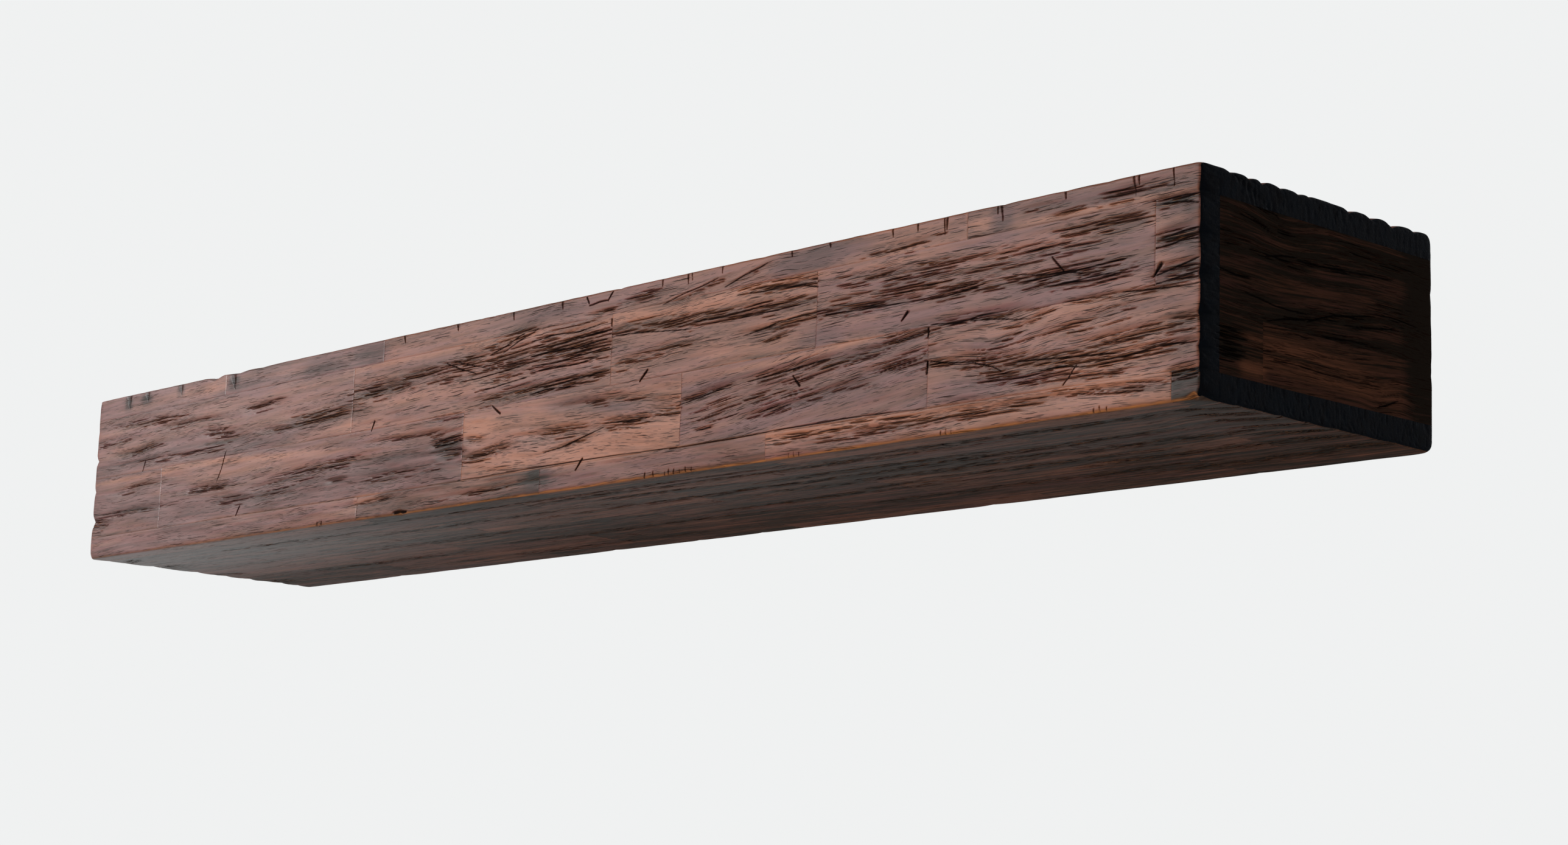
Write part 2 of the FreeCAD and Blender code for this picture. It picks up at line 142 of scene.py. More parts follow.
# Tones of the stain: warmth from plum to tan, depth from light to nearly black, rise of the grain
TONES = {
    "plum": (0.08, 0.32, 0.075), "rose": (0.36, 0.24, 0.02), "russet": (0.55, 0.26, 0.03),
    "tan": (0.85, 0.17, -0.02), "umber": (0.48, 0.44, 0.01), "ash": (0.24, 0.36, 0.0),
    "slate": (0.0, 0.97, 0.03), "rosewood": (0.52, 0.31, 0.02), "amber": (0.72, 0.29, 0.02),
    "brown": (0.46, 0.38, 0.01), "dusk": (0.46, 0.58, 0.01), "fawn": (0.62, 0.19, -0.02),
    "wine": (0.20, 0.235, 0.075), "honey": (0.90, 0.20, -0.02), "damson": (0.3, 0.5, 0.02),
}
FRONT_TONES = (
    ("rose", "dusk", "brown", "fawn", "slate"),
    ("ash", "rose", "honey", "wine", "russet"),
    ("rose", "russet", "amber", "rose", "damson"),
    ("rose", "ash", "rosewood", "umber"),
)
TOP_TONES = (
    ("rose", "umber", "tan", "plum"),
    ("russet", "rose", "plum", "tan", "umber"),
    ("ash", "russet", "rose", "umber"),
    ("tan", "plum", "russet", "rose", "ash"),
    ("umber", "rose", "tan", "russet"),
)
BOTTOM_TONES = (
    ("umber", "ash", "rose", "umber"),
    ("ash", "umber", "rose", "umber", "ash"),
    ("rose", "umber", "ash", "russet", "umber"),
    ("umber", "rose", "umber", "ash", "umber"),
    ("ash", "umber", "rose", "umber"),
)
RIGHT_CAP_TONES = (("umber", "russet"), ("umber",), ("umber", "umber"))
LEFT_CAP_TONES = (("rose", "umber"), ("russet",), ("umber", "rose"))

# Worn places of each arris: place along it as a share of its length, then width in shares of the
# notch width and depth in shares of the notch depth
TOP_FRONT_SHARES = (
    (0.0, 0.5, 0.5), (0.150, 1.7, 2.0), (0.178, 3.0, 1.2), (0.207, 2.8, 0.8), (0.445, 0.7, 0.5),
    (0.458, 0.7, 0.5),
    (0.576, 1.1, 0.75), (0.697, 1.5, 0.5), (0.874, 1.3, 0.65), (0.915, 1.3, 0.5),
    (0.942, 1.0, 0.5), (1.0, 0.6, 0.9),
)
BOTTOM_FRONT_SHARES = (
    (0.003, 0.6, 0.5), (0.285, 1.3, 0.6), (0.371, 0.8, 1.4), (0.611, 0.6, 0.7),
    (0.640, 1.5, 0.8), (0.725, 1.0, 0.6), (0.837, 0.6, 0.6), (0.938, 0.9, 0.6),
    (0.996, 1.0, 1.6),
)
TOP_BACK_SHARES = (
    (0.09, 1.2, 0.8), (0.27, 1.6, 0.9), (0.41, 0.9, 0.6), (0.63, 1.4, 0.8),
    (0.78, 0.8, 0.7), (0.93, 1.1, 0.9),
)
BOTTOM_BACK_SHARES = (
    (0.12, 1.3, 0.8), (0.36, 1.4, 0.9), (0.443, 0.9, 0.7), (0.502, 0.9, 0.7),
    (0.60, 0.8, 0.6), (0.70, 1.8, 0.9), (0.892, 1.0, 0.7), (1.0, 1.0, 1.0),
)
FRONT_RIGHT_SHARES = (
    (0.02, 0.8, 1.4), (0.13, 0.7, 0.9), (0.22, 0.8, 1.2), (0.363, 1.0, 1.35),
    (0.528, 1.0, 1.2), (0.70, 1.1, 1.3), (0.878, 1.1, 1.2),
)
FRONT_LEFT_SHARES = (
    (0.0, 0.9, 1.8), (0.234, 1.0, 2.2), (0.42, 0.8, 1.4), (0.613, 0.7, 1.9),
    (0.80, 0.9, 0.6), (0.98, 0.6, 0.8),
)
BACK_RIGHT_SHARES = ((0.0, 0.8, 1.8), (1.0, 0.8, 1.8), (0.35, 0.9, 0.6), (0.72, 0.8, 0.7))
BACK_LEFT_SHARES = ((0.08, 0.8, 0.9), (0.47, 1.0, 0.7), (0.84, 0.9, 0.8))
TOP_RIGHT_SHARES = (
    (0.122, 0.9, 1.2), (0.197, 0.8, 1.4), (0.252, 0.7, 1.8), (0.328, 0.9, 1.2),
    (0.405, 0.8, 1.3), (0.450, 0.5, 1.0), (0.626, 1.1, 1.7), (0.722, 1.1, 1.7),
    (0.818, 1.2, 2.2), (0.919, 0.9, 1.4), (1.0, 0.8, 1.8),
)
BOTTOM_RIGHT_SHARES = (
    (0.02, 1.2, 1.6), (0.153, 0.7, 0.6), (0.22, 0.6, 0.6), (0.33, 0.8, 0.7),
    (0.45, 0.9, 0.6), (0.57, 1.0, 0.7), (0.70, 0.8, 0.6), (0.83, 0.9, 0.8), (1.0, 0.9, 1.8),
)
TOP_LEFT_SHARES = (
    (0.05, 0.8, 0.9), (0.17, 0.7, 0.7), (0.31, 1.1, 1.1), (0.44, 0.8, 0.7),
    (0.58, 0.9, 0.9), (0.71, 1.2, 1.2), (0.86, 0.8, 0.8), (0.96, 0.7, 0.7),
)
BOTTOM_LEFT_SHARES = (
    (0.08, 0.9, 0.7), (0.262, 1.3, 1.4), (0.459, 1.2, 1.3), (0.60, 0.8, 0.8),
    (0.70, 1.2, 1.2), (0.853, 1.0, 1.1), (0.93, 0.9, 1.0),
)

# Bands of checks on each face: middle of the band (millimetres from the face's left or front end,
# then below its top or behind its front arris), half length, half width, fall per length, strength
FRONT_BANDS = (
    (156, 36, 52, 3.5, 0.02, 0.6), (192, 48, 30, 5, 0.16, 0.45), (262, 34, 26, 4, -0.05, 0.7),
    (77, 51, 30, 4, -0.14, 0.65), (72, 84, 36, 4.5, -0.10, 0.5), (186, 94, 34, 3, 0.02, 0.85),
    (12, 110, 15, 5, 0.1, 1.0), (290, 55, 40, 3.5, 0.02, 0.6), (300, 100, 60, 6, -0.08, 0.45),
    (345, 52, 58, 5.5, -0.02, 0.85), (350, 93, 60, 4, -0.03, 0.75), (368, 105, 12, 2, 0, 0.8),
    (90, 28, 60, 4, 0.0, 0.4), (30, 40, 40, 4, -0.03, 0.45), (120, 62, 90, 3, 0.02, 0.4),
    (70, 103, 60, 3, 0.0, 0.5), (210, 58, 40, 5, 0.0, 0.5), (240, 108, 60, 5, 0.02, 0.35),
    (420, 40, 40, 8, 0.03, 0.85), (475, 34, 32, 4, 0.02, 0.85), (507, 72, 20, 2.5, 0.0, 0.6),
    (440, 110, 60, 5, -0.05, 0.4), (470, 82, 50, 3, 0.02, 0.4), (520, 42, 40, 4, 0.05, 0.6),
    (560, 35, 62, 10, 0.02, 0.8), (580, 22, 36, 5, -0.16, 0.6), (590, 49, 40, 4, -0.02, 0.75),
    (585, 63, 50, 5, -0.07, 0.75), (509, 90, 18, 3.5, -0.03, 1.0), (514, 99, 15, 5, 0.02, 0.8),
    (490, 109, 18, 2, -0.12, 0.4), (556, 104, 30, 4, -0.14, 0.7), (541, 92, 12, 3.5, 0.12, 0.5),
    (420, 127, 26, 3, -0.06, 0.4), (560, 131, 70, 2.5, -0.04, 0.35),
    (650, 37, 50, 14, 0.0, 0.95), (650, 62, 50, 4.5, -0.03, 0.95), (686, 16, 18, 3, -0.06, 0.5),
    (760, 34, 80, 6, 0.05, 0.75), (845, 37, 66, 6, 0.03, 0.9), (741, 54, 42, 6, -0.10, 0.6),
    (865, 23, 44, 4.5, 0.05, 0.85), (875, 50, 46, 3.5, -0.05, 0.75), (866, 58, 14, 2.2, -0.25, 0.6),
    (726, 11, 24, 4, -0.12, 0.75), (790, 14, 36, 2, -0.22, 0.5), (836, 11, 24, 1.8, -0.26, 0.6),
    (640, 97, 32, 4.5, 0.04, 0.9), (716, 98, 32, 4, -0.04, 0.9),
    (690, 80, 50, 4, 0.05, 0.4), (655, 107, 32, 2.6, -0.16, 0.5),
    (756, 93, 18, 7, 0.06, 0.6), (797, 88, 30, 3, -0.12, 0.8), (880, 81, 46, 4, -0.10, 0.8),
    (850, 95, 70, 10, -0.11, 0.45), (880, 104, 46, 4, -0.11, 0.7), (797, 111, 10, 1.5, -0.1, 0.6),
    (960, 48, 60, 5, 0.03, 0.8), (1050, 50, 60, 5, 0.04, 0.85), (1120, 53, 52, 7, 0.03, 0.95),
    (980, 30, 80, 6, 0.03, 0.66), (1080, 34, 60, 6, 0.04, 0.6), (1010, 40, 96, 9, 0.02, 0.62),
    (1146, 28, 38, 7, 0.08, 0.75),
    (1201, 21, 20, 4.5, 0.03, 1.0), (1203, 43, 18, 5.5, -0.02, 1.0), (1203, 64, 18, 8, -0.04, 1.0),
    (940, 81, 40, 5, -0.10, 0.75), (975, 90, 40, 7, -0.10, 0.6), (930, 100, 40, 5, -0.08, 0.5),
    (995, 73, 34, 3.5, -0.06, 0.8), (1048, 70, 44, 4.5, 0.06, 0.9), (1070, 78, 26, 3.5, 0.1, 0.7),
    (1082, 81, 26, 4.5, -0.42, 0.6), (1130, 84, 50, 7, -0.14, 0.5), (1165, 71, 50, 2.5, 0.02, 0.8),
    (1036, 97, 34, 5, 0.16, 0.9), (1058, 103, 24, 4, 0.18, 0.8), (1120, 105, 62, 8, 0.08, 1.0),
    (1060, 97, 54, 5, 0.1, 0.9),
    (1186, 106, 40, 4, 0.02, 0.85), (1204, 91, 18, 3, 0.0, 0.7), (1160, 97, 60, 6, -0.05, 0.75),
    (1110, 114, 70, 4, 0.05, 0.7),
    (980, 128, 76, 5, -0.04, 0.7), (1060, 129, 66, 4, -0.05, 0.7),
    (910, 126, 50, 4, -0.03, 0.6), (1140, 127, 66, 4, 0.02, 0.6),
    (1208, 123, 12, 4, 0.04, 1.0), (985, 14, 40, 5, -0.05, 0.5), (1170, 10, 46, 5, -0.03, 0.5),
    (1120, 14, 16, 2, -0.1, 0.6), (1102, 8, 26, 3, 0.03, 0.4),
)
UNDERSIDE_BANDS = (
    (700, 46, 60, 4, 0.03, 0.9), (640, 30, 70, 5, -0.04, 0.9), (900, 60, 110, 4, 0.0, 0.9),
    (1000, 88, 60, 5, 0.03, 0.8), (800, 128, 50, 5, 0.0, 0.8), (860, 122, 40, 5, 0.0, 0.8),
    (620, 20, 240, 4, 0.0, 0.8), (850, 34, 180, 5, 0.01, 0.85), (1040, 26, 140, 6, 0.01, 0.8),
    (760, 76, 220, 5, 0.0, 0.9), (1010, 72, 160, 6, -0.02, 0.85), (900, 95, 160, 6, 0.01, 0.7),
    (1110, 98, 90, 8, 0.02, 0.85), (980, 118, 150, 6, 0.0, 0.75), (820, 132, 160, 5, 0.01, 0.6),
    (1100, 140, 110, 9, 0.02, 0.8), (960, 168, 170, 7, 0.0, 0.65), (1120, 186, 100, 9, 0.02, 0.7),
    (480, 60, 160, 5, 0.0, 0.5), (380, 110, 160, 6, 0.01, 0.45), (560, 150, 180, 6, 0.0, 0.5),
    (250, 40, 120, 5, 0.02, 0.45), (200, 160, 140, 7, 0.0, 0.45), (430, 196, 180, 6, 0.01, 0.45),
    (1200, 30, 22, 5, 0.5, 1.0), (1200, 50, 22, 5, 0.5, 1.0), (1198, 70, 24, 6, 0.45, 1.0),
    (1198, 95, 24, 6, 0.4, 1.0), (1196, 120, 26, 7, 0.35, 1.0), (1196, 145, 26, 7, 0.35, 1.0),
    (1196, 180, 26, 9, 0.3, 1.0), (20, 70, 20, 8, -0.1, 0.8), (20, 130, 22, 9, 0.1, 0.8),
    (18, 185, 20, 8, 0.1, 0.8), (20, 30, 18, 6, -0.1, 0.8),
)
TOP_BANDS = (
    (90, 40, 80, 5, 0.02, 0.6), (260, 64, 120, 7, -0.01, 0.8), (420, 35, 140, 6, 0.02, 0.7),
    (600, 52, 110, 8, 0.01, 0.85), (810, 38, 150, 6, -0.02, 0.7), (1010, 60, 120, 8, 0.02, 0.9),
    (1150, 40, 60, 7, 0.0, 0.9), (150, 98, 120, 8, 0.01, 0.7), (380, 110, 130, 6, -0.02, 0.8),
    (640, 96, 130, 7, 0.02, 0.75), (860, 112, 120, 8, 0.0, 0.85), (1090, 100, 110, 7, -0.02, 0.8),
    (120, 150, 100, 6, 0.02, 0.8), (330, 142, 110, 8, 0.01, 0.6), (560, 156, 140, 6, -0.02, 0.8),
    (800, 148, 130, 8, 0.02, 0.7), (1040, 158, 130, 6, 0.0, 0.8), (220, 200, 150, 7, 0.0, 0.7),
    (480, 192, 110, 7, 0.02, 0.7), (720, 205, 150, 6, -0.01, 0.7), (1000, 196, 140, 8, 0.01, 0.8),
    (1196, 90, 24, 8, 0.2, 1.0), (1196, 140, 24, 8, -0.1, 1.0), (1198, 190, 22, 8, 0.15, 1.0),
    (20, 60, 22, 8, 0.1, 1.0), (20, 110, 22, 8, -0.15, 1.0), (20, 175, 22, 9, 0.1, 1.0),
)
RIGHT_END_BANDS = (
    (50, 12, 26, 4.5, 0.42, 0.9), (124, 41, 64, 2.5, -0.07, 0.8), (115, 74, 54, 3, -0.18, 0.8),
    (162, 71, 26, 2, -0.16, 0.7), (28, 98, 14, 5, 0.0, 1.0), (28, 108, 13, 4, 0.0, 0.9),
    (30, 61, 15, 2, 0.04, 0.9), (181, 116, 12, 1.5, -0.35, 0.6), (70, 45, 34, 4, 0.1, 0.6),
    (120, 84, 60, 4, -0.05, 0.4), (190, 60, 30, 8, 0.03, 0.4), (110, 105, 80, 6, 0.02, 0.35),
    (64, 28, 30, 4, 0.1, 0.5), (28, 40, 12, 5, 0.02, 0.6), (170, 28, 40, 5, 0.05, 0.5),
)
LEFT_END_BANDS = (
    (50, 34, 34, 5, -0.08, 0.7), (120, 46, 56, 4, 0.05, 0.8), (90, 78, 60, 4, 0.06, 0.7),
    (170, 66, 40, 5, -0.05, 0.7), (40, 100, 26, 6, 0.1, 0.8), (150, 98, 56, 5, -0.03, 0.6),
    (195, 110, 30, 5, 0.1, 0.6), (100, 26, 50, 3, 0.02, 0.6),
)

# Patches of other tone: place and half sizes as for the bands, fall, change of warmth and of depth
FRONT_PATCHES = (
    (1045, 44, 130, 22, 0.0, -0.08, -0.07), (1110, 96, 96, 22, 0.0, 0.0, -0.06),
    (1125, 9, 80, 9, 0.0, -0.15, -0.06),
    (665, 79, 46, 6, 0.04, -0.35, 0.22), (722, 84, 40, 4, -0.03, -0.2, 0.15),
    (620, 129, 22, 8, 0.0, -0.3, 0.25),
    (1204, 40, 12, 20, 0.0, -0.3, 0.25), (1206, 100, 10, 14, 0.0, -0.2, 0.3),
    (585, 79, 20, 5, 0.0, -0.3, 0.15),
    (48, 7, 6, 7, 0.0, -0.4, 0.6), (77, 6, 8, 5, 0.0, -0.4, 0.55), (131, 5, 6, 5, 0.0, -0.3, 0.5),
    (212, 7, 9, 7, 0.0, -0.5, 0.5), (380, 106, 150, 13, 0.0, -0.6, 0.12),
    (170, 112, 90, 8, 0.0, -0.35, 0.1),
    (200, 131, 200, 7, 0.0, -0.35, 0.05), (800, 120.8, 210, 0.9, 0.0, 0.9, 0.3),
    (280, 120.8, 300, 0.9, 0.0, 0.5, 0.2),
    (510, 96, 18, 10, 0.0, -0.3, 0.3), (350, 54, 60, 8, 0.0, 0.0, 0.15), (425, 40, 60, 9, 0.0, 0.0, 0.12),
    (866, 20, 40, 2.2, 0.0, 0.9, -0.3), (770, 25, 76, 3.5, 0.0, 0.5, -0.2),
    (760, 62, 40, 6, 0.0, -0.3, 0.05), (905, 63, 20, 6, -0.03, -0.5, 0.25),
    (1040, 67, 90, 3, -0.01, -0.3, 0.12), (880, 73, 70, 2.4, -0.04, 0.7, -0.2),
    (960, 70, 40, 2.0, 0.0, 0.5, -0.1), (620, 73, 70, 5, 0.02, -0.2, 0.05),
    (680, 84, 60, 5, 0.06, -0.45, 0.15), (545, 85, 18, 7, 0.0, 0.25, -0.2),
    (700, 112, 60, 8, -0.03, 0.3, -0.15), (1140, 113, 60, 7, 0.01, 0.15, -0.25),
    (1060, 110, 46, 7, 0.0, -0.4, 0.05), (1020, 84, 20, 7, 0.05, 0.2, -0.2),
    (1110, 78, 60, 9, -0.05, 0.1, -0.2), (870, 124, 14, 5, 0.0, 0.5, -0.3),
    (960, 124, 80, 3.0, 0.0, 0.5, -0.2), (1150, 122, 60, 4, 0.0, 0.5, -0.25),
    (410, 124, 18, 4, 0.0, 0.6, -0.25), (620, 127, 12, 8, 0.0, -0.5, 0.3),
    (700, 128, 60, 6, 0.0, -0.2, 0.0), (1047, 9, 12, 9, 0.0, 0.4, -0.15),
    (1064, 12, 10, 8, 0.0, -0.5, 0.25), (1140, 16, 80, 1.8, 0.0, 0.9, -0.3),
    (893, 10, 34, 8, -0.05, -0.7, 0.3), (930, 8, 26, 6, 0.0, -0.4, 0.15),
    (405, 9, 22, 8, 0.0, -0.7, 0.25), (340, 12, 26, 6, 0.0, -0.5, 0.2),
    (520, 12, 60, 6, 0.0, -0.3, 0.05), (610, 8, 60, 6, 0.0, -0.35, 0.1),
    (500, 20, 110, 2.2, 0.0, 0.45, -0.15), (520, 53, 80, 7, 0.0, 0.1, -0.15),
    (400, 63, 30, 5, 0.0, 0.2, -0.15), (480, 100, 60, 12, 0.0, -0.45, 0.15),
    (350, 110, 110, 8, 0.0, -0.45, 0.12), (250, 76, 130, 3, 0.05, 0.6, -0.15),
    (60, 74, 70, 2.6, 0.0, 0.6, -0.15), (120, 102, 90, 6, 0.03, -0.3, 0.05),
    (190, 10, 20, 7, 0.0, 0.3, -0.2), (120, 9, 30, 6, 0.0, 0.2, -0.1),
    (215, 16, 30, 5, 0.0, -0.5, 0.2), (150, 58, 90, 6, 0.0, -0.35, 0.1),
    (255, 62, 50, 7, 0.0, -0.5, 0.15), (60, 62, 50, 7, 0.0, -0.3, 0.1),
    (50, 100, 50, 5, 0.05, -0.4, 0.1), (60, 133, 110, 4, 0.0, -0.1, 0.0),
    (1030, 60, 90, 3, 0.0, -0.35, 0.1), (960, 22, 60, 4, 0.0, 0.2, -0.1),
    (1090, 30, 60, 6, 0.02, 0.1, -0.1), (1195, 30, 14, 6, 0.0, 0.4, -0.35),
    (1197, 54, 12, 6, 0.0, 0.3, -0.3),
)
RIGHT_END_PATCHES = (
    (48, 115, 12, 5, 0.0, 0.7, -0.5), (120, 108, 80, 7, 0.03, 0.5, -0.25),
    (90, 98, 60, 4, 0.02, 0.5, -0.2), (110, 62, 90, 10, 0.0, 0.1, 0.0),
    # The patch at 222 mm darkens the strip beside the wall as a painted shadow
    (120, 30, 80, 9, 0.0, 0.3, 0.1), (222, 75, 22, 70, 0.0, -0.3, 0.5),
    (185, 52, 34, 18, 0.0, 0.4, 0.0), (120, 104, 90, 17, 0.0, 0.35, 0.05),
)

# Single cuts on each face: start, end, width at the start and at the end, depth, in millimetres
FRONT_CUTS = (
    (524, 119.9, 770, 120.4, 0.7, 0.7, 0.5), (762, 120.4, 1002, 119.9, 0.8, 0.7, 0.6),
    (446, 137.6, 461, 137.6, 5.0, 5.0, 1.4),
    (207, 65, 196, 91, 1.6, 1.0, 0.8), (82, 61, 79, 70, 2.2, 1.2, 0.7),
    (233, 114, 228, 121, 2.4, 1.0, 0.7),
    (415, 64, 411, 71, 2.4, 1.0, 0.9), (561, 69, 572, 75, 1.0, 2.2, 1.1),
    (735, 63, 728, 71, 2.4, 0.9, 1.2),
    (882, 85, 888, 93, 1.0, 2.4, 1.2), (669, 119, 661, 126, 2.6, 1.0, 1.2),
    (985, 57, 980, 62, 2.8, 1.0, 1.3), (1106, 40, 1115, 51, 1.0, 1.6, 1.2),
    (1190, 57, 1184, 64, 3.6, 1.2, 1.6), (1126, 109, 1116, 120, 1.3, 0.8, 1.1),
    (504, 29, 540, 43, 1.3, 0.9, 0.8), (512, 30, 566, 42, 1.2, 0.7, 0.7),
    (556, 30, 596, 19, 0.9, 1.1, 0.7),
    (572, 31, 612, 17, 0.9, 1.2, 0.7), (520, 47, 612, 41, 1.0, 1.1, 0.7),
    (540, 56, 600, 52, 0.8, 1.0, 0.6),
    (605, 26, 690, 24, 1.1, 0.8, 0.7), (606, 32, 694, 30, 1.4, 1.0, 0.9),
    (605, 37, 690, 36, 2.0, 1.1, 1.0),
    (606, 45, 694, 43, 1.5, 1.0, 0.9), (605, 49, 680, 48, 1.4, 0.8, 0.8),
    (612, 62, 694, 59, 1.8, 1.2, 1.0),
    (605, 65, 660, 63, 1.4, 0.8, 0.8), (700, 34, 780, 40, 1.0, 0.8, 0.7),
    (780, 36, 860, 34, 0.9, 1.2, 0.8),
    (820, 40, 895, 38, 1.0, 1.0, 0.8), (833, 52, 870, 47, 0.9, 1.2, 0.8),
    (868, 47, 917, 46, 1.3, 1.0, 0.9),
    (826, 24, 901, 25, 0.9, 1.1, 0.8), (889, 26, 903, 29, 0.8, 1.5, 0.9),
    (749, 20, 805, 9, 0.8, 1.0, 0.6),
    (813, 16, 855, 5, 0.9, 0.9, 0.6), (625, 111, 690, 99, 1.0, 1.2, 0.7),
    (697, 97, 736, 98, 1.6, 1.2, 0.8),
    (769, 91, 822, 86, 0.9, 1.1, 0.8), (839, 84, 917, 77, 0.9, 1.1, 0.8),
    (862, 107, 880, 104, 0.8, 0.9, 0.6),
    (788, 112, 803, 110, 0.8, 1.3, 0.7), (494, 89, 526, 86, 1.2, 1.6, 0.9),
    (496, 92, 526, 91, 1.2, 0.9, 0.8),
    (910, 49, 1000, 51, 1.0, 1.2, 0.8), (1000, 52, 1052, 48, 1.2, 0.8, 0.8),
    (1080, 53, 1166, 50, 1.3, 1.0, 0.9),
    (1074, 47, 1130, 53, 0.9, 1.2, 0.8), (1100, 57, 1160, 57, 1.0, 1.0, 0.8),
    (1006, 69, 1070, 69, 1.3, 1.0, 0.9),
    (1040, 70, 1088, 76, 1.0, 0.8, 0.8), (1004, 92, 1044, 97, 1.5, 1.0, 1.0),
    (1044, 97, 1066, 105, 1.4, 0.9, 0.9),
    (1078, 101, 1160, 106, 1.3, 1.3, 0.9), (1140, 108, 1217, 105, 1.2, 1.5, 0.9),
    (1090, 108, 1150, 110, 0.9, 0.9, 0.7),
    (1188, 22, 1218, 24, 0.9, 1.6, 1.0), (1190, 19, 1218, 19, 0.9, 1.3, 1.0),
    (1190, 42, 1218, 39, 1.0, 1.8, 1.1),
    (1192, 46, 1218, 46, 0.9, 1.6, 1.0), (1186, 63, 1218, 58, 1.0, 1.8, 1.1),
    (1186, 68, 1218, 66, 1.0, 1.6, 1.0),
    (1160, 70, 1218, 73, 0.9, 1.4, 0.9), (1200, 122, 1217, 122, 1.0, 1.3, 0.8),
    (1202, 126, 1217, 125, 0.9, 1.2, 0.8),
    (666, 2, 669, 7, 1.6, 1.2, 0.8), (669, 8, 690, 8, 1.2, 1.2, 0.8), (690, 8, 695, 2, 1.2, 1.6, 0.8),
    (1003.5, 70, 1003.5, 76, 1.6, 1.2, 1.2), (1003.5, 91, 1003.5, 99, 1.6, 1.6, 1.3),
    (695, 22, 695, 27, 1.6, 1.2, 1.0),
)
# Nicks that run down from the top front arris: distance from the left end, length, width
FRONT_NICKS = (
    (48, 12, 13), (77, 9, 12), (130, 9, 14), (210, 14, 15), (448, 7, 4), (515, 6, 4), (582, 7, 3),
    (639, 7, 3.5), (748, 6, 2.6), (775, 8, 3), (779, 6, 1.6), (809, 6, 2), (877, 5, 1.8), (913, 4, 2.4),
    (971, 6, 2.4), (992, 6, 2.4), (1018, 9, 3), (1016, 12, 1.2), (1064, 11, 3), (1060, 6, 1.8),
    (1116, 6, 2.4), (1169, 13, 2.2), (1172, 7, 1.8), (1199, 12, 1.4),
)
# Comb marks on the bottom front arris: distance from the left end, length, width
BOTTOM_NICKS = (
    (344, 3, 5), (350, 3, 5), (737, 4, 2), (745, 4, 2), (757, 3, 1.2),
    (762, 4, 1.4), (767, 4, 1.2), (772, 3, 1.2), (778, 4, 1.4), (785, 3, 1.2), (880, 3, 1.2),
    (884, 4, 1.4),
    (889, 3, 1.2), (1016, 3, 1.4), (1020, 4, 1.4), (1024, 3, 1.2), (1140, 3, 1.4), (1144, 4, 1.4),
    (1149, 3, 1.2),
)
UNDERSIDE_CUTS = (
    (824, 39, 828, 45, 1.2, 2.2, 1.1), (992, 28, 998, 34, 1.2, 2.4, 1.1),
    (919, 94, 925, 100, 1.0, 2.2, 1.1),
    (1054, 79, 1062, 85, 1.0, 2.2, 1.1), (1132, 178, 1138, 184, 1.0, 2.0, 1.1),
    (700, 94, 705, 100, 1.0, 2.0, 1.0),
    (330, 80, 336, 88, 1.0, 2.0, 1.0), (520, 170, 526, 178, 1.0, 2.0, 1.0),
    (210, 130, 216, 136, 1.0, 2.0, 1.0),
)
TOP_CUTS = (
    (140, 60, 150, 66, 1.0, 2.2, 1.1), (372, 128, 366, 138, 2.2, 1.0, 1.1),
    (560, 40, 569, 45, 1.0, 2.2, 1.1),
    (690, 172, 684, 180, 2.2, 1.0, 1.1), (905, 70, 914, 77, 1.0, 2.4, 1.2),
    (1088, 132, 1080, 141, 2.4, 1.0, 1.2),
    (250, 190, 257, 196, 1.0, 2.0, 1.0), (1010, 30, 1019, 35, 1.0, 2.0, 1.0),
)
RIGHT_END_CUTS = (
    (30, 3, 50, 11, 1.0, 1.4, 1.0), (36, 3, 62, 15, 1.0, 1.3, 1.0), (44, 6, 73, 21, 1.2, 1.0, 1.0),
    (34, 9, 56, 18, 0.9, 1.1, 0.9), (62, 45, 90, 42, 0.9, 1.4, 0.9), (90, 42, 140, 41, 1.4, 1.1, 0.9),
    (140, 41, 187, 36, 1.1, 0.8, 0.8), (62, 84, 100, 78, 0.9, 1.5, 1.0),
    (100, 78, 128, 70, 1.5, 1.2, 1.0),
    (128, 70, 168, 64, 1.2, 0.8, 0.9), (137, 75, 187, 67, 0.9, 0.9, 0.8), (14, 94, 34, 95, 1.5, 1.0, 1.0),
    (15, 98, 43, 99, 1.6, 1.0, 1.1), (14, 102, 38, 103, 1.6, 1.0, 1.1), (15, 106, 42, 106, 1.6, 1.0, 1.1),
    (14, 110, 36, 110, 1.6, 1.0, 1.1), (16, 114, 32, 113, 1.4, 0.9, 0.9), (16, 60, 45, 62, 1.5, 0.9, 1.0),
    (170, 120, 192, 112, 0.9, 0.8, 0.7), (42, 70, 70, 74, 0.9, 1.4, 0.9), (70, 74, 96, 73, 1.4, 0.8, 0.9),
)
LEFT_END_CUTS = (
    (40, 40, 96, 46, 1.0, 1.4, 0.9), (96, 46, 150, 44, 1.4, 0.9, 0.9), (60, 82, 130, 86, 1.0, 1.2, 0.9),
    (150, 70, 190, 66, 1.2, 0.8, 0.8), (16, 98, 44, 101, 1.6, 1.0, 1.0),
    (16, 104, 40, 106, 1.5, 1.0, 1.0),
)

Mark = namedtuple("Mark", "bands patches cuts")
Face = namedtuple("Face", "corner along down inward marks")
Board = namedtuple("Board", "face corner along inward across length width rows joints tones seed")
Stave = namedtuple("Stave", "board start end low high tone seed first last")
Arris = namedtuple("Arris", "corner along outward cut length notches rub")

X, Y, Z = np.eye(3)
LEFT_FRONT_TOP = np.array((LOW[0], LOW[1], HIGH[2]))
LEFT_FRONT_LOW = np.array(LOW)
RIGHT_FRONT_TOP = np.array((HIGH[0], LOW[1], HIGH[2]))
LEFT_BACK_TOP = np.array((LOW[0], HIGH[1], HIGH[2]))
NO_MARKS = Mark((), (), ())
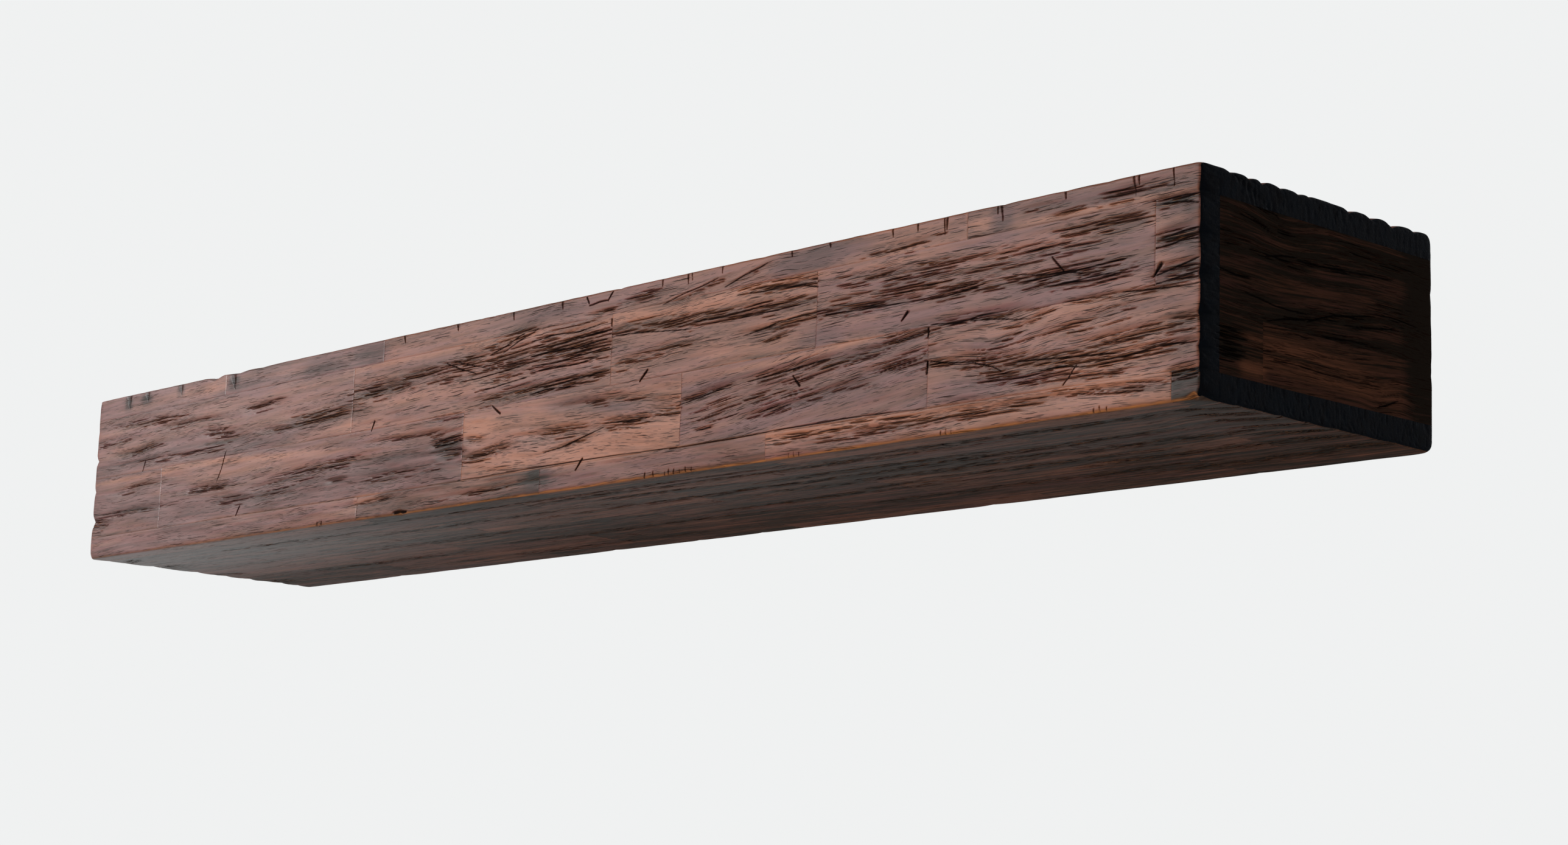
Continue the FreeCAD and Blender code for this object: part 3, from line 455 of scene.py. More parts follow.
# Places of the screw plugs each way from the middle, as shares of the outermost ones'
PLUG_SHARES = (1.0, 0.317)
CHECK_LENGTHS = {"underside": 0.45, "top": 0.7, "right_end": 0.7, "left_end": 0.7}

# Outer faces of the beam: first corner, direction of the marks' first and second place, inward side
FACES = {
    "front": Face(LEFT_FRONT_TOP, X, -Z, Y, Mark(FRONT_BANDS, FRONT_PATCHES, FRONT_CUTS)),
    "underside": Face(LEFT_FRONT_LOW, X, Y, Z, Mark(UNDERSIDE_BANDS, (), UNDERSIDE_CUTS)),
    "top": Face(LEFT_FRONT_TOP, X, Y, -Z, Mark(TOP_BANDS, (), TOP_CUTS)),
    "right_end": Face(RIGHT_FRONT_TOP, Y, -Z, -X, Mark(RIGHT_END_BANDS, RIGHT_END_PATCHES, RIGHT_END_CUTS)),
    "left_end": Face(LEFT_FRONT_TOP, Y, -Z, X, Mark(LEFT_END_BANDS, (), LEFT_END_CUTS)),
    "back": Face(LEFT_BACK_TOP, X, -Z, -Y, NO_MARKS),
}


def arrises():
    """Each worn arris of the beam: its outward side, the side its notches are cut from, and the share
    of its stain that is rubbed through."""
    left, right = X * LOW[0], X * HIGH[0]
    front, wall = Y * LOW[1], Y * HIGH[1]
    low, high = Z * LOW[2], Z * HIGH[2]
    return (
        Arris(left + front + high, X, Z - Y, Z - 0.4 * Y, LENGTH, TOP_FRONT_SHARES, 0.10),
        Arris(left + front + low, X, -Y - Z, -Y - Z, LENGTH, BOTTOM_FRONT_SHARES, 1.0),
        Arris(left + wall + high, X, Z + Y, Z + 0.5 * Y, LENGTH, TOP_BACK_SHARES, 0.3),
        Arris(left + wall + low, X, Y - Z, 0.5 * Y - Z, LENGTH, BOTTOM_BACK_SHARES, 0.3),
        Arris(right + front + low, Z, X - Y, X - 0.25 * Y, HEIGHT, FRONT_RIGHT_SHARES, 0.0),
        Arris(left + front + low, Z, -X - Y, -X - 0.7 * Y, HEIGHT, FRONT_LEFT_SHARES, 0.1),
        Arris(right + wall + low, Z, X + Y, X + Y, HEIGHT, BACK_RIGHT_SHARES, 0.0),
        Arris(left + wall + low, Z, Y - X, Y - X, HEIGHT, BACK_LEFT_SHARES, 0.1),
        Arris(right + front + high, Y, X + Z, 0.3 * X + Z, DEPTH, TOP_RIGHT_SHARES, 0.0),
        Arris(right + front + low, Y, X - Z, 0.5 * X - Z, DEPTH, BOTTOM_RIGHT_SHARES, 0.1),
        Arris(left + front + high, Y, Z - X, Z - 0.4 * X, DEPTH, TOP_LEFT_SHARES, 0.1),
        Arris(left + front + low, Y, -X - Z, -0.4 * X - Z, DEPTH, BOTTOM_LEFT_SHARES, 0.2),
    )


def board_table():
    """Every board of the beam: its face, corner, directions, size, rows, joints and tones."""
    inner_low, inner_height = LOW[2] + BOARD, HEIGHT - 2 * BOARD
    behind, inner_depth = Y * (LOW[1] + BOARD), DEPTH - BOARD
    left, right, low, high = X * LOW[0], X * HIGH[0], Z * LOW[2], Z * HIGH[2]
    return {
        "front": Board("front", np.array(LOW), X, Y, Z, LENGTH, HEIGHT, FRONT_ROW_SHARES,
                       FRONT_JOINT_SHARES, FRONT_TONES, 11),
        "top": Board("top", left + behind + high, X, -Z, Y, LENGTH, inner_depth, TOP_ROW_SHARES,
                     TOP_JOINT_SHARES, TOP_TONES, 211),
        "bottom": Board("underside", left + behind + low, X, Z, Y, LENGTH, inner_depth, BOTTOM_ROW_SHARES,
                        BOTTOM_JOINT_SHARES, BOTTOM_TONES, 411),
        "right_cap": Board("right_end", right + behind + Z * inner_low, Y, -X, Z, inner_depth, inner_height,
                           CAP_ROW_SHARES, RIGHT_CAP_JOINT_SHARES, RIGHT_CAP_TONES, 611),
        "left_cap": Board("left_end", left + behind + Z * inner_low, Y, X, Z, inner_depth, inner_height,
                          CAP_ROW_SHARES, LEFT_CAP_JOINT_SHARES, LEFT_CAP_TONES, 811),
    }


def staves_of(board, row):
    """Staves of one row of a board, from its left or front end."""
    ends = [0.0] + [board.length * share for share in board.joints[row]] + [board.length]
    low, high = (board.width * share for share in board.rows[row:row + 2])
    return [
        Stave(board, ends[k], ends[k + 1], low, high, TONES[board.tones[row][k]],
              board.seed + 20 * row + k, k == 0, k == len(ends) - 2)
        for k in range(len(ends) - 1)
    ]


def hashed(across, along, seed):
    """Steady numbers from 0 to 1 at whole places, from an integer hash of both places and the seed."""
    mixed = (across * 374761393 + along * 668265263 + seed * 974711) & 0xFFFFFFFF
    mixed = ((mixed ^ (mixed >> 13)) * 1274126177) & 0xFFFFFFFF
    return ((mixed ^ (mixed >> 16)) & 0xFFFFFF) / 0xFFFFFF


def noise(x, y, seed):
    """Smooth noise from 0 to 1: four hashed corners of a unit cell, blended by 3t^2 - 2t^3 each way."""
    cell_x, cell_y = np.floor(x).astype(np.int64), np.floor(y).astype(np.int64)
    part_x, part_y = x - cell_x, y - cell_y
    part_x, part_y = (part * part * (3 - 2 * part) for part in (part_x, part_y))
    near = hashed(cell_x, cell_y, seed) * (1 - part_x) + hashed(cell_x + 1, cell_y, seed) * part_x
    far = hashed(cell_x, cell_y + 1, seed) * (1 - part_x) + hashed(cell_x + 1, cell_y + 1, seed) * part_x
    return near * (1 - part_y) + far * part_y


def step_up(low, high, values):
    """Ramp from 0 at low to 1 at high, eased by 3t^2 - 2t^3."""
    part = np.clip((values - low) / (high - low), 0, 1)
    return part * part * (3 - 2 * part)


def band_field(bands, a, b):
    """Strength of the bands of checks at places a, b, and how far they carry the grain down.

    A band is a bell along its fallen middle line times a bell across it. The grain is carried by the
    mean of the bands' falls, each fall * distance * a bell as wide as the band or twice its fall.
    """
    strength, carried, weights = np.zeros_like(a), np.zeros_like(a), np.ones_like(a)
    for middle, height, half_length, half_width, fall, power in bands:
        power = power ** 0.7
        along = (a - middle * MM) / (half_length * MM)
        drift = fall * half_length * MM * np.tanh(along)
        off = (b - height * MM - drift) / (half_width * MM)
        strength = np.maximum(strength, power * np.exp(-np.abs(along) ** 3 - off * off))
        wide = max(2.2 * half_width, 2.5 * abs(fall) * half_length) * MM
        weight = np.exp(-((b - height * MM - drift) / wide) ** 2) * np.exp(-(along / 1.7) ** 4)
        carried, weights = carried + drift * weight, weights + weight
    return strength, carried / weights * 1.2


def patch_field(patches, a, b):
    """Change of warmth and of depth at places a, b: the sum of soft-edged ellipses."""
    warmth, depth = np.zeros_like(a), np.zeros_like(a)
    for middle, height, half_length, half_width, fall, warmer, deeper in patches:
        along = (a - middle * MM) / (half_length * MM)
        off = (b - height * MM - fall * (a - middle * MM)) / (half_width * MM)
        weight = np.exp(-(along ** 4 + off ** 2))
        warmth, depth = warmth + warmer * weight, depth + deeper * weight
    return warmth, depth


def cut_field(cuts, a, b, waver):
    """Depth and darkness of the single cuts at places a, b, as a V with tapered width.

    The distance to the cut's wavering line is set against its half width there, which runs from the
    first to the last and rounds off past both ends. Long cuts are uneven and thin out to the ends.
    """
    depth, dark = np.zeros_like(a), np.zeros_like(a)
    for a0, b0, a1, b1, first, last, deep in cuts:
        reach = max(first, last) * MM * 2
        near = np.flatnonzero(
            (a > min(a0, a1) * MM - reach) & (a < max(a0, a1) * MM + reach)
            & (b > min(b0, b1) * MM - reach) & (b < max(b0, b1) * MM + reach))
        if not near.size:
            continue
        run, rise = (a1 - a0) * MM, (b1 - b0) * MM
        length = math.hypot(run, rise)
        from_a, from_b = a[near] - a0 * MM, b[near] - b0 * MM
        share = (from_a * run + from_b * rise) / length ** 2
        bend = noise(share * length / (10 * MM + 0.2 * length), share * 0, int(a0)) - 0.5
        swing = waver * (1 + 1.5 * min(length / (40 * MM), 1)) * bend
        side = (from_b * run - from_a * rise) / length + swing
        slender = min(length / (28 * MM), 1)
        half = (first + (last - first) * np.clip(share, 0, 1)) * MM / 2
        half *= 1 - slender * (0.6 * np.abs(2 * share - 1).clip(0, 1) ** 3
                               + 0.4 * noise(share * length / (7 * MM), share * 0, int(b0) + 5))
        past = np.maximum(np.maximum(-share, share - 1), 0) * length
        fit = np.clip(1 - np.hypot(side, past) / (half + 0.25 * MM), 0, 1)
        depth[near] = np.maximum(depth[near], deep * MM * fit)
        dark[near] = np.maximum(dark[near], np.clip(fit * 2.2, 0, 1))
    return depth, dark


def nick_field(nicks, a, b, deep):
    """Depth and darkness of the nicks that run straight in from the face's b = 0 arris."""
    cuts = [(place, -1, place + width * 0.25, length, width, width * 0.2, deep)
            for place, length, width in nicks]
    return cut_field(cuts, a, b, NICK_WAVER)


def face_places(face, points):
    """First and second place of points on a face."""
    offset = points - face.corner
    return offset @ face.along, offset @ face.down


def samples(length, step, fine):
    """Places from 0 to length at about one step, with graded fine places near both ends."""
    inside = np.linspace(fine[-1] + step * 0.7, length - fine[-1] - step * 0.7,
                         max(2, round((length - 2 * fine[-1]) / step)))
    return np.concatenate((fine, inside, length - fine[::-1]))


def with_cut_places(stave, u):
    """Places along the stave with finer ones added wherever a steep cut or a nick crosses it.

    The graded places at both ends, and the first two regular ones beside them, stay as they are.
    """
    face = FACES[stave.board.face]
    start = (stave.board.corner - face.corner) @ stave.board.along
    a, b = face_places(face, stave.board.corner + np.outer((stave.low, stave.high), stave.board.across))
    low, high = b.min() / MM - 2, b.max() / MM + 2
    spans = [(min(cut[0], cut[2]), max(cut[0], cut[2])) for cut in face.marks.cuts
             if abs(cut[3] - cut[1]) > 0.35 * abs(cut[2] - cut[0])
             and max(cut[1], cut[3]) > low and min(cut[1], cut[3]) < high]
    if stave.board.face == "front" and (stave.low == 0 or stave.high == stave.board.width):
        nicks = BOTTOM_NICKS if stave.low == 0 else FRONT_NICKS
        spans += [(place - width / 2, place + width / 2) for place, length, width in nicks]
    added = [np.arange(first - 1.2, last + 1.2, 0.4) * MM - start for first, last in spans]
    places = np.concatenate((*added, u)) if added else u
    kept = len(EDGE_PLACES) + 2
    first_free, last_free = u[kept - 1], u[-kept]
    inside = (places > first_free) & (places < last_free)
    places = np.unique(np.round(places[inside] / (0.3 * MM))) * 0.3 * MM
    places = places[(places > first_free + 0.2 * MM) & (places < last_free - 0.2 * MM)]
    return np.concatenate((u[:kept], places, u[-kept:]))


def finger_reach(depths):
    """Run of the finger joint's zigzag at each depth below the face."""
    knots = [0.0] + FINGER_DEPTHS + [BOARD]
    reach = [0.0] + [FINGER_LENGTH * (k % 2) for k in range(2 * FINGERS + 1)] + [0.0]
    return np.interp(depths, knots, reach)


def stave_shell(stave, step_along, step_across, first_vertex):
    """Closed shell of one stave before wear: its vertices in stave places, and its faces.

    The outer face is a grid of places u along and v across. Its rim is carried down the walls in
    rings at graded depths w, where the jointed ends follow the fingers, and the back is a fan.
    Unlike the CAD solid, the shell has no holes for dowels, screws or plugs.
    """
    fine = np.array(EDGE_PLACES) * MM
    u = with_cut_places(stave, stave.start + samples(stave.end - stave.start, step_along, fine))
    v = stave.low + samples(stave.high - stave.low, step_across, fine[:4])
    grid_u, grid_v = np.meshgrid(u, v, indexing="ij")
    number = np.arange(grid_u.size).reshape(grid_u.shape)
    rim = np.concatenate((number[:-1, 0], number[-1, :-1], number[:0:-1, -1], number[0, :0:-1]))
    shown = stave.first or stave.last or stave.low == 0 or stave.high == stave.board.width
    upper = SHOWN_RIM_DEPTHS if shown else HIDDEN_RIM_DEPTHS
    depths = np.array([depth * MM for depth in upper] + FINGER_DEPTHS[1:] + [BOARD])
    share = (grid_u.ravel()[rim] - stave.start) / (stave.end - stave.start)
    held = np.where(stave.first, share, 1.0) * np.where(stave.last, 1 - share, 1.0)
    if stave.first and stave.last:
        held = held * 0
    ring_u = grid_u.ravel()[rim] + finger_reach(depths)[:, None] * held
    ring_v = np.broadcast_to(grid_v.ravel()[rim], ring_u.shape)
    ring_w = np.broadcast_to(depths[:, None], ring_u.shape)
    middle = np.array([[(stave.start + stave.end) / 2, (stave.low + stave.high) / 2, BOARD]])
    places = np.concatenate((
        np.stack((grid_u.ravel(), grid_v.ravel(), np.zeros(grid_u.size)), 1),
        np.stack((ring_u.ravel(), ring_v.ravel(), ring_w.ravel()), 1), middle))
    count = len(rim)
    rings = np.concatenate((rim[None], grid_u.size + np.arange(len(depths) * count).reshape(-1, count)))
    outer = np.stack((number[:-1, :-1], number[1:, :-1], number[1:, 1:], number[:-1, 1:]), -1).reshape(-1, 4)
    ahead = np.roll(rings, -1, 1)
    walls = np.stack((rings[:-1], rings[1:], ahead[1:], ahead[:-1]), -1).reshape(-1, 4)
    fan = np.stack((rings[-1], np.full(count, len(places) - 1), ahead[-1]), -1)
    if np.dot(np.cross(stave.board.along, stave.board.across), stave.board.inward) > 0:
        outer, walls, fan = outer[:, ::-1], walls[:, ::-1], fan[:, ::-1]
    quads = np.concatenate((outer, walls)) + first_vertex
    return places, quads, fan + first_vertex


def draw_in(points, near, corner, side, depth, softness):
    """Draws points in from a side until none lies less than a depth inside the corner.

    The distance inside becomes the soft greater of itself and that depth, which is
    (a + b + sqrt((a - b)^2 + k^2)) / 2, and the move fades out farther inside. Returns the moves.
    """
    side = side / np.linalg.norm(side)
    inside = -((points[near] - corner) @ side)
    gap = depth - inside
    cut = (gap + np.sqrt(gap * gap + softness ** 2)) / 2
    cut *= 1 - step_up(FADE_START, FADE_END, inside)
    points[near] -= cut[:, None] * side
    return cut


def wear_arrises(points, sizes):
    """Points drawn in from every sharp arris, and how far the stain is rubbed off each one.

    First comes an uneven round, then the notches, each deep * (1 - distance / half width)^1.3.
    """
    points = points.copy()
    rub = np.zeros(len(points))
    for index, arris in enumerate(arrises()):
        near = np.flatnonzero(-((points - arris.corner) @ arris.cut) < ARRIS_REACH)
        if not near.size:
            continue
        along = (points[near] - arris.corner) @ arris.along
        uneven = 0.7 + 0.6 * noise(along / (7 * MM), along * 0, 31 + index)
        moved = draw_in(points, near, arris.corner, arris.outward,
                        sizes.arris_radius * (math.sqrt(2) - 1) * uneven, sizes.arris_softness)
        depth = np.full(len(near), -2 * sizes.arris_softness)
        for place, width, deep in arris.notches:
            half = width * sizes.notch_width / 2
            dip = np.clip(1 - np.abs(along - place * arris.length) / half, 0, 1) ** 1.3
            depth = np.maximum(depth, deep * sizes.notch_depth * dip)
        notched = draw_in(points, near, arris.corner, arris.cut, depth, sizes.arris_softness)
        moved = np.maximum(moved, notched)
        waver = noise(along / (24 * MM), along * 0, 57 + index)
        rubbed = arris.rub * step_up(0.08 * MM, 0.5 * MM, moved) * (0.5 + 0.8 * waver)
        rub[near] = np.maximum(rub[near], rubbed)
    return points, np.clip(rub, 0, 1)


def dash_field(along, level, length, pitch, half, share, seed):
    """Darkness of spindle-shaped dashes along the grain, at most one to a cell of length by pitch.

    A dash fills a random part of its cell's length, and is half * (1 - t^2) wide there, t running
    from -1 to 1. Only the given share of the cells holds one, and it thins out as the share falls.
    """
    lane = np.floor(level / pitch)
    run = along / length + hashed(lane.astype(np.int64), lane.astype(np.int64) * 0, seed)
    cell = np.floor(run)
    places = lane.astype(np.int64), cell.astype(np.int64)
    pick, shift, size = (hashed(*places, seed + step) for step in (1, 2, 3))
    reach = 0.4 + 0.6 * size
    narrowing = np.clip(1 - ((2 * (run - cell) - 1) / reach) ** 2, 0, 1)
    off = np.abs(level / pitch - lane - 0.5 - (shift - 0.5) * 0.5) * pitch
    wide = half * narrowing * np.clip((share - pick) * 4, 0, 1) * (0.55 + 0.45 * size)
    return np.clip(1.6 * (1 - off / (wide + 0.02 * MM)), 0, 1) * np.clip(wide / (0.3 * MM), 0, 1)


def check_field(stave, along, level, power):
    """Darkness of the checks: two sizes of dashes, more of them and wider where the power is high."""
    stretch = CHECK_LENGTHS.get(stave.board.face, 1.0)
    waver = (noise(along / (34 * MM), level / (7 * MM), stave.seed + 9) - 0.5) * 1.8 * MM
    dark = np.zeros_like(along)
    for length, pitch, half, seed in CHECK_LAYERS:
        share = 1.3 * power - 0.1
        layer = dash_field(along, level + waver, length * stretch * MM, pitch * MM, half * MM, share,
                           stave.seed + seed)
        dark = np.maximum(dark, layer)
    return dark


def end_grain_field(stave, a, b):
    """Darkness of open pores in sawn end grain: the peaks of round noise."""
    return 0.5 * step_up(0.6, 0.9, noise(a / (1.6 * MM), b / (1.6 * MM), stave.seed))


def away_from_plugs(a, b):
    """0 on the top face round the screw plugs, which were sanded flush, and 1 from 12 mm on."""
    low, high = (np.array(corner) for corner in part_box("screw_plugs"))
    radius = (high[1] - low[1]) / 2
    outer = high[0] - radius
    gaps = [np.hypot(a + LOW[0] - side * share * outer, b + LOW[1] - low[1] - radius)
            for side in (-1, 1) for share in PLUG_SHARES]
    return step_up(radius + 1 * MM, radius + 7 * MM, np.minimum.reduce(gaps))


def joint_line(stave, u, v, width):
    """Line along the stave's glued edges: e to the minus square of the distance over the width."""
    edges = [np.full_like(u, 1.0)]
    if not stave.first:
        edges.append(u - stave.start)
    if not stave.last:
        edges.append(stave.end - u)
    if stave.low > 0:
        edges.append(v - stave.low)
    if stave.high < stave.board.width:
        edges.append(stave.high - v)
    return np.exp(-(np.minimum.reduce(edges) / width) ** 2)


def shape_stave(stave, sizes, places):
    """World points of a stave, and its attributes grain, stain (warmth, depth, streak), wear and lie.

    From each outer face the wood sinks by the greater of its cuts and the sum of hand-scraped waves,
    ripples along the grain, joint lines and checks. It sinks in full on the face and less below it,
    down to nothing at a board's depth, and on the top it stays flat round the screw plugs.
    """
    board = stave.board
    u, v, w = places.T
    nominal = board.corner + u[:, None] * board.along + v[:, None] * board.across + w[:, None] * board.inward
    own = FACES[board.face]
    a, b = face_places(own, nominal)
    strength, carried = band_field(own.marks.bands, a, b)
    warmer, deeper = patch_field(own.marks.patches, a, b)
    warmth, stain_depth, rise = stave.tone
    middle = (a.min() + a.max()) / 2
    wave = (noise(a / (70 * MM), b / (25 * MM), stave.seed) - 0.5) * 3 * MM
    across = b - carried + rise * (a - middle) + wave

    sink = np.zeros_like(nominal)
    check, end, down = (np.zeros(len(places)) for _ in range(3))
    for name, face in FACES.items():
        reach = (nominal - face.corner) @ face.inward
        near = np.flatnonzero(reach < BOARD - 1e-6)
        if not near.size:
            continue
        on_face = reach[near] < 1e-6
        on = near[on_face]
        # 1 on the underside, where the material paints shade and sheen
        if name == "underside":
            down[near] = 1 - np.clip(reach[near] / (3 * MM), 0, 1)
        at_a, at_b = face_places(face, nominal[near])
        depth = sizes.scraped_depth * noise(at_a / (45 * MM), at_b / (14 * MM), 5)
        if abs(board.along @ face.inward) > 0.5:
            dark = end_grain_field(stave, at_a, at_b)
            end[on] = 1.0
        elif face is own:
            dark = check_field(stave, u[near], across[near], strength[near])
            ripple = noise(u[near] / (26 * MM), across[near] / (3.6 * MM), stave.seed + 4)
            depth += sizes.ripple_depth * ripple * (0.6 + strength[near])
            depth += sizes.joint_depth * joint_line(stave, u[near], v[near], sizes.joint_width)
            depth += sizes.hollow_depth * strength[near]
        else:
            power, _ = band_field(face.marks.bands, at_a, at_b)
            dark = check_field(stave, u[near], v[near] + w[near], power)
        depth += sizes.check_depth * dark
        deep, black = cut_field(face.marks.cuts, at_a, at_b, CUT_WAVER)
        if name == "front":
            for nicks, from_arris, tint in ((FRONT_NICKS, at_b, 0.65), (BOTTOM_NICKS, HEIGHT - at_b, 0.5)):
                nick_deep, nick_black = nick_field(nicks, at_a, from_arris, NICK_DEPTH)
                deep, black = np.maximum(deep, nick_deep), np.maximum(black, nick_black * tint)
        depth = np.maximum(depth, deep) * (1 - reach[near] / BOARD)
        if name == "top":
            depth *= away_from_plugs(at_a, at_b)
        sink[near] += depth[:, None] * face.inward
        check[on] = np.maximum(check[on], np.maximum(dark, black)[on_face])

    points, rub = wear_arrises(nominal + sink, sizes)
    offset = np.array((stave.seed * 0.377 % 7.0, 0, stave.seed * 0.113 % 3.0))
    return points, {
        "grain": np.stack((u, across, w), 1) + offset,
        "stain": np.stack((warmth + warmer, stain_depth + deeper, strength), 1),
        "wear": np.stack((check, rub, end), 1),
        "underside_painted_shade": np.stack((down, down * 0, down * 0), 1),
    }


def surface_mesh(name, points, faces):
    """Mesh of points and of arrays of faces, each array with as many corners to a face as columns."""
    mesh = bpy.data.meshes.new(name)
    mesh.vertices.add(len(points))
    mesh.vertices.foreach_set("co", points.astype(np.float32).ravel())
    corners = np.concatenate([array.ravel() for array in faces])
    counts = np.concatenate([np.full(len(array), array.shape[1]) for array in faces])
    mesh.loops.add(len(corners))
    mesh.loops.foreach_set("vertex_index", corners.astype(np.int32))
    mesh.polygons.add(len(counts))
    mesh.polygons.foreach_set("loop_start", (np.cumsum(counts) - counts).astype(np.int32))
    mesh.update(calc_edges=True)
    return mesh


def add_staves(name, staves, sizes, step_factor, material, nodes):
    """One piece of one or more staves that stands for the CAD nodes given."""
    all_points, all_faces, first = [], [], 0
    layers = {"grain": [], "stain": [], "wear": [], "underside_painted_shade": []}
    for stave in staves:
        places, quads, fan = stave_shell(
            stave, sizes.grid_along * step_factor, sizes.grid_across * step_factor, first)
        points, attributes = shape_stave(stave, sizes, places)
        first += len(points)
        all_points.append(points)
        all_faces += [quads, fan]
        for key, values in attributes.items():
            layers[key].append(values)
    mesh = surface_mesh(name, np.concatenate(all_points), all_faces)
    for key, values in layers.items():
        layer = mesh.attributes.new(key, "FLOAT_VECTOR", "POINT")
        layer.data.foreach_set("vector", np.concatenate(values).astype(np.float32).ravel())
    mesh.polygons.foreach_set("use_smooth", np.ones(len(mesh.polygons), bool))
    mesh.set_sharp_from_angle(angle=math.radians(50))
    mesh.materials.append(material)
    piece = bpy.data.objects.new(name, mesh)
    bpy.context.scene.collection.objects.link(piece)
    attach(piece, BODY)
    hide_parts(*nodes)
    return piece


class Socket:
    """One node output. Arithmetic on it, from either side, adds a Math node to its tree."""

    def __init__(self, tree, link):
        self.tree = tree
        self.link = link

    def math(self, operation, first, second=0.0, clamp=False):
        """Result of a Math node on two numbers or sockets."""
        return self.tree.node("ShaderNodeMath", {"operation": operation, "use_clamp": clamp},
                              {0: first, 1: second})

    def __add__(self, other):
        return self.math("ADD", self, other)

    def __radd__(self, other):
        return self.math("ADD", other, self)

    def __sub__(self, other):
        return self.math("SUBTRACT", self, other)

    def __rsub__(self, other):
        return self.math("SUBTRACT", other, self)

    def __mul__(self, other):
        return self.math("MULTIPLY", self, other)

    def __rmul__(self, other):
        return self.math("MULTIPLY", other, self)

    def __truediv__(self, other):
        return self.math("DIVIDE", self, other)

    def __rtruediv__(self, other):
        return self.math("DIVIDE", other, self)

    def __abs__(self):
        return self.math("ABSOLUTE", self)

    def floored(self):
        """The whole number below the value."""
        return self.math("FLOOR", self)

    def clamped(self):
        """The value kept between 0 and 1."""
        return self.math("ADD", self, 0.0, clamp=True)

    def ramp(self, low, high):
        """0 at low, 1 at high and eased between them."""
        return self.tree.node("ShaderNodeMapRange", {"interpolation_type": "SMOOTHSTEP"},
                              {0: self, 1: low, 2: high, 3: 0.0, 4: 1.0})


class Tree:
    """Node tree of a material or world, where one method adds every node."""

    def __init__(self, owner):
        owner.use_nodes = True
        self.nodes, self.links = owner.node_tree.nodes, owner.node_tree.links
        self.nodes.clear()

    def node(self, kind, settings=None, inputs=None, output=0):
        """Adds a node of a kind: its settings first, then values or links for its sockets."""
        node = self.nodes.new(kind)
        for key, value in (settings or {}).items():
            setattr(node, key, value)
        for key, value in (inputs or {}).items():
            if isinstance(value, Socket):
                self.links.new(value.link, node.inputs[key])
            else:
                node.inputs[key].default_value = value
        return Socket(self, node.outputs[output]) if node.outputs else node

    def attribute(self, name):
        """The three numbers of one of the mesh's attributes."""
        return self.node("ShaderNodeAttribute", {"attribute_name": name}, output="Vector")

    def parts(self, vector):
        """X, Y and Z of a vector."""
        first = self.node("ShaderNodeSeparateXYZ", None, {0: vector})
        return [Socket(self, output) for output in first.link.node.outputs]

    def place(self):
        """The surface's place in the row frame."""
        return self.node("ShaderNodeTexCoord", output="Object")

    def noise(self, vector, cycles, detail=3.0, roughness=0.5, distortion=0.0):
        """Soft noise from about 0 to 1 with that many cycles per metre along each axis."""
        counted = self.node("ShaderNodeVectorMath", {"operation": "MULTIPLY"}, {0: vector, 1: cycles})
        return self.node("ShaderNodeTexNoise", None, {
            "Vector": counted, "Scale": 1.0, "Detail": detail, "Roughness": roughness,
            "Distortion": distortion})

    def hashed(self, first, second, seed):
        """Three random numbers from 0 to 1 at whole places."""
        place = self.node("ShaderNodeCombineXYZ", None, {0: first, 1: second, 2: seed})
        return self.node("ShaderNodeTexWhiteNoise", {"noise_dimensions": "3D"}, {"Vector": place}, output=1)

    def dashes(self, along, level, length, pitch, half, share, seed):
        """Spindle-shaped dashes along the grain, as in dash_field, and a painted highlight on the rim below
        each.
        """
        lane = (level / pitch).floored()
        run = along / length + self.parts(self.hashed(lane, 0.5, seed))[0] * 7
        cell = run.floored()
        pick, shift, size = self.parts(self.hashed(lane, cell, seed + 1))
        part = ((run - cell) * 2 - 1) / (size * 0.6 + 0.4)
        off = (level / pitch - lane - 0.5 - (shift - 0.5) * 0.5) * pitch
        wide = (1 - part * part).clamped() * ((share - pick) * 4).clamped() * (size * 0.45 + 0.55) * half
        near = off / (wide + 0.00003)
        shown = (wide / half).ramp(0.08, 0.4)
        return (1.5 - abs(near) * 1.5).clamped() * shown, (1 - abs(near - 1.5)).clamped() * shown

    def blend(self, factor, first, second):
        """Colour between two colours or colour sockets."""
        return self.node("ShaderNodeMix", {"data_type": "RGBA"}, {0: factor, 6: first, 7: second}, output=2)

    def bump(self, height, distance, strength=1.0):
        """Normal bent by a height in shares of the distance."""
        return self.node("ShaderNodeBump", None,
                         {"Strength": strength, "Distance": distance, "Height": height})

    def principled(self, **inputs):
        """Principled surface, its sockets named in small letters."""
        names = {key: key.replace("_", " ").title().replace("Ior", "IOR") for key in inputs}
        return self.node("ShaderNodeBsdfPrincipled", None,
                         {names[key]: value for key, value in inputs.items()})

    def surface(self, shader):
        """Connects a shader to the output."""
        self.node("ShaderNodeOutputMaterial", None, {"Surface": shader})


def colour(value):
    """A colour property as a node's four numbers."""
    return (*value, 1.0)


def material_tree(name):
    """A material of that name and its emptied node tree."""
    material = bpy.data.materials.get(name) or bpy.data.materials.new(name)
    return material, Tree(material)


